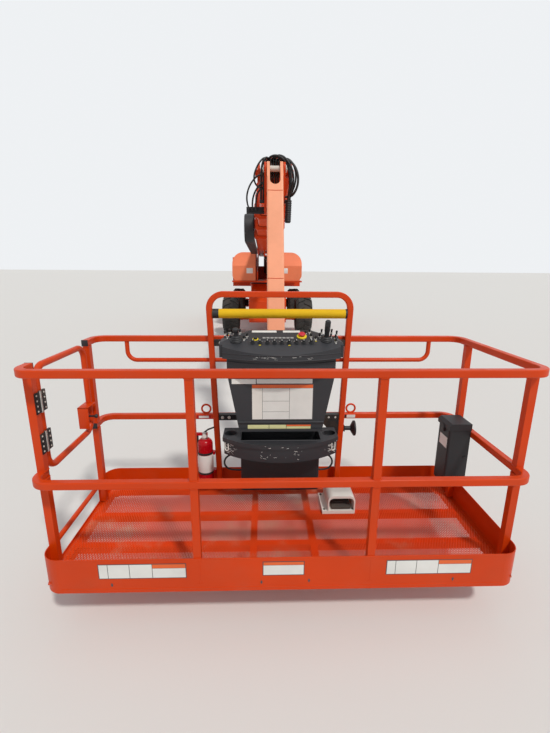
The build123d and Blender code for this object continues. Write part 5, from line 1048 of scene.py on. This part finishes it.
def document_box_trim():
    """The blank plate and the latch of the document box, and two short pins at either end."""
    (x, y, z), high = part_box("document_box")
    bm = bmesh.new()
    put_box(bm, (x + 0.0048, y + 0.024, z + 0.252), (x + 0.0062, y + 0.122, z + 0.322))
    add_piece("document_box_blank_plate", bm, "plate", "platform")
    bm = bmesh.new()
    put_box(bm, (x - 0.004, y + 0.064, z + 0.35), (x + 0.008, y + 0.098, z + 0.396), 0.002)
    for side_y in (y + 0.006, high[1] - 0.006):
        for up in (z + 0.06, z + 0.2):
            put_tube(bm, [(high[0] - 0.03, side_y, up), (high[0] - 0.002, side_y, up)], 0.005)
    add_piece("document_box_latch", bm, "black_plastic", "platform")


def console_bolts():
    bm = bmesh.new()
    for z in (0.61, 1.125):
        for x in (-0.385, -0.34, 0.34, 0.385):
            put_bolt(bm, at(x, 0.8392, z), (0, -1, 0), 0.008, 0.007)
    add_piece("console_bolts", bm, "zinc", "platform")


grab_bar_trim()
horn_cover()
extinguisher_trim()
foot_switch_trim()
document_box_trim()
console_bolts()


# Wheels
NUT_COUNT = 10
NUT_RING = 0.15
RIM_FACE = 0.024
HUB_FACE = 0.055


# Turned profiles of (distance out, radius)
NUT = [(0.0, 0.021), (0.004, 0.021), (0.005, 0.016), (0.022, 0.016), (0.025, 0.012)]
STUD = [(0.024, 0.008), (0.034, 0.008)]
HUB = [(0.0, 0.096), (0.004, 0.094), (0.006, 0.06), (0.012, 0.056), (0.016, 0.0)]
# The tyre's raised bands: radius, distance out from its middle, thickness
BANDS = [(0.335, 0.168, 0.005), (0.402, 0.2195, 0.004), (0.452, 0.2195, 0.003)]


def wheel_trim(body):
    """Wheel nuts, the hub's cover screws, the valve and the raised bands on the tyre's sides."""
    centre = Vector(JOINTS[body]["pos_m"])
    side = 1 if centre.x > 0 else -1
    out = (side, 0, 0)
    face = centre - Vector((side * RIM_FACE, 0, 0))
    bm = bmesh.new()
    for a in turns(NUT_COUNT):
        spot = round_x(face, 0, NUT_RING, a)
        put_turned(bm, spot, out, NUT, 6)
        put_turned(bm, spot, out, STUD, 12)
    hub = centre + Vector((side * HUB_FACE, 0, 0))
    put_turned(bm, hub, out, HUB, 40)
    for a in turns(8, 0.5):
        put_bolt(bm, round_x(hub, side * 0.004, 0.078, a), out, 0.008, 0.008)
    put_rod(bm, face + Vector((0, 0, 0.24)), face + Vector((side * 0.04, 0, 0.236)), 0.006, 10)
    add_piece(f"nuts_{body}", bm, "steel", body)
    bm = bmesh.new()
    for r, x, thick in BANDS:
        for inward in (1, -1):
            ring = [round_x(centre, side * inward * x, r, a) for a in turns(56)]
            put_tube(bm, ring, thick, closed=True, sides=6)
    add_piece(f"bands_{body}", bm, "tyre", body)


for wheel in ("wheel_front_left", "wheel_front_right", "wheel_rear_left", "wheel_rear_right"):
    wheel_trim(wheel)


# Turntable, hoods and counterweight
def hood_trim(side_name, side):
    """A hood's two latches, its grab handle and the small blank plate on its nose."""
    low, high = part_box(f"hood_{side_name}")
    outer = (high[0] if side > 0 else low[0]) - side * 0.012
    body = f"hood_{side_name}"
    bm = bmesh.new()
    for y in (SWING.y - 0.62, SWING.y + 0.96):
        put_box(bm, (outer - side * 0.004, y - 0.045, 1.7), (outer + side * 0.006, y + 0.045, 1.76), 0.003)
        put_box(bm, (outer, y - 0.03, 1.715), (outer + side * 0.011, y + 0.03, 1.732), 0.002)
    grip = [(outer, SWING.y - 0.3, 1.69), (outer + side * 0.011, SWING.y - 0.28, 1.69),
            (outer + side * 0.011, SWING.y - 0.13, 1.69), (outer, SWING.y - 0.11, 1.69)]
    put_tube(bm, grip, 0.007)
    add_piece(f"latches_{side_name}", bm, "black_plastic", body)
    bm = bmesh.new()
    x0, x1 = sorted((side * 0.43, side * 0.62))
    put_box(bm, (x0, low[1] - 0.0016, 1.66), (x1, low[1] + 0.001, 1.815), 0.0006)
    add_piece(f"hood_plate_{side_name}", bm, "plate", body)


def turntable_trim():
    """Bolts of the deck and the counterweight, pin keepers at the boom's pivot and lifting eyes."""
    bm = bmesh.new()
    low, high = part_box("counterweight")
    for x in (-0.8, -0.56, 0.56, 0.8):
        for z in (1.42, 1.96):
            put_bolt(bm, (x, high[1] - 0.0006, z), (0, 1, 0), 0.026, 0.02)
    deck_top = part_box("hood_left")[0][2] - 0.006
    for side in (-1, 1):
        for k in range(7):
            put_bolt(bm, (side * 0.336, SWING.y - 0.9 + 0.3 * k, deck_top), (0, 0, 1), 0.014, 0.012)
        end = BOOM_PIVOT + Vector((side * 0.3322, 0, 0))
        put_turned(bm, end, (side, 0, 0), [(0.0, 0.078), (0.01, 0.078), (0.013, 0.072)], 36)
        for a in turns(3):
            put_bolt(bm, round_x(end, side * 0.012, 0.052, a + 0.5), (side, 0, 0), 0.011, 0.009)
    add_piece("turntable_bolts", bm, "steel", "turntable")
    bm = bmesh.new()
    for x in (-0.76, 0.76):
        y, foot = high[1] - 0.42, high[2] - 0.06
        arch = [(x + 0.045, y, foot)]
        for k in range(13):
            a = math.pi * k / 12
            arch.append((x + 0.045 * math.cos(a), y, high[2] - 0.04 + 0.036 * math.sin(a)))
        arch.append((x - 0.045, y, foot))
        put_tube(bm, arch, 0.01)
    add_piece("lifting_eyes", bm, "dark_steel", "turntable")


# Each collar: body, half width, half height, front end along the boom
COLLARS = [
    ("boom_base", 0.282, 0.322, 6.7), ("boom_outer_mid", 0.2395, 0.2795, 7.8),
    ("boom_inner_mid", 0.202, 0.242, 8.75),
]
BOOM_CENTRE = 0.06
COLLAR_MID = 0.075


def boom_trim():
    """The wear pads' adjusting bolts on each collar, on its two sides and its top."""
    for body, half_w, half_h, front in COLLARS:
        bm = bmesh.new()
        for du in (-0.03, 0.03):
            for across in (-0.1, 0.1):
                top = boom_at(front - COLLAR_MID + du, across * half_w / 0.282, BOOM_CENTRE + half_h)
                put_bolt(bm, top, BOOM_UP, 0.011, 0.012)
            for side in (-1, 1):
                for up in (-0.1, 0.1):
                    spot = boom_at(front - COLLAR_MID + du, side * half_w, BOOM_CENTRE + up)
                    put_bolt(bm, spot, (side, 0, 0), 0.011, 0.012)
        add_piece(f"pad_bolts_{body}", bm, "steel", body)


# Each cylinder: body, pivot joint, slide joint, barrel radius, distance from the pivot to the barrel's head
CYLINDERS = [
    ("lift_barrel", "lift_barrel_pivot", "lift_rod_slide", 0.1, 2.133),
    ("jib_barrel", "jib_barrel_pivot", "jib_rod_slide", 0.048, 0.777),
]


def cylinder_trim(body, pivot, slide, r, head):
    """The gland ring, ports and hard line of a hydraulic cylinder."""
    origin = Vector(JOINTS[pivot]["pos_m"])
    axis = Vector(JOINTS[slide]["axis"]).normalized()
    under = Vector((1, 0, 0)).cross(axis).normalized()
    if under.z > 0:
        under = -under
    bm = bmesh.new()
    gland = [
        (0.0, r + 0.002), (0.004, r * 1.06), (0.32 * r, r * 1.06), (0.36 * r, r * 1.02),
        (0.46 * r, r * 1.02),
    ]
    put_turned(bm, origin + axis * (head - 0.5 * r), axis, gland, 36)
    foot = origin + axis * (1.9 * r + 0.04)
    far = origin + axis * (head - 2.4 * r)
    for port in (foot, far):
        put_turned(
            bm, port + under * (r * 0.92), under,
            [(0.0, 0.26 * r), (0.3 * r, 0.26 * r), (0.32 * r, 0.2 * r)], 6
        )
    line = [foot + under * (r * 1.16), foot + under * (r * 1.2) + axis * (0.4 * r)]
    line += [far + under * (r * 1.2) - axis * (0.4 * r), far + under * (r * 1.16)]
    put_tube(bm, line, 0.09 * r)
    add_piece(f"ports_{body}", bm, "steel", body)


for side_name, side in (("left", -1), ("right", 1)):
    hood_trim(side_name, side)
turntable_trim()
boom_trim()
for row in CYLINDERS:
    cylinder_trim(*row)

SCENE.view_settings.view_transform = "Standard"
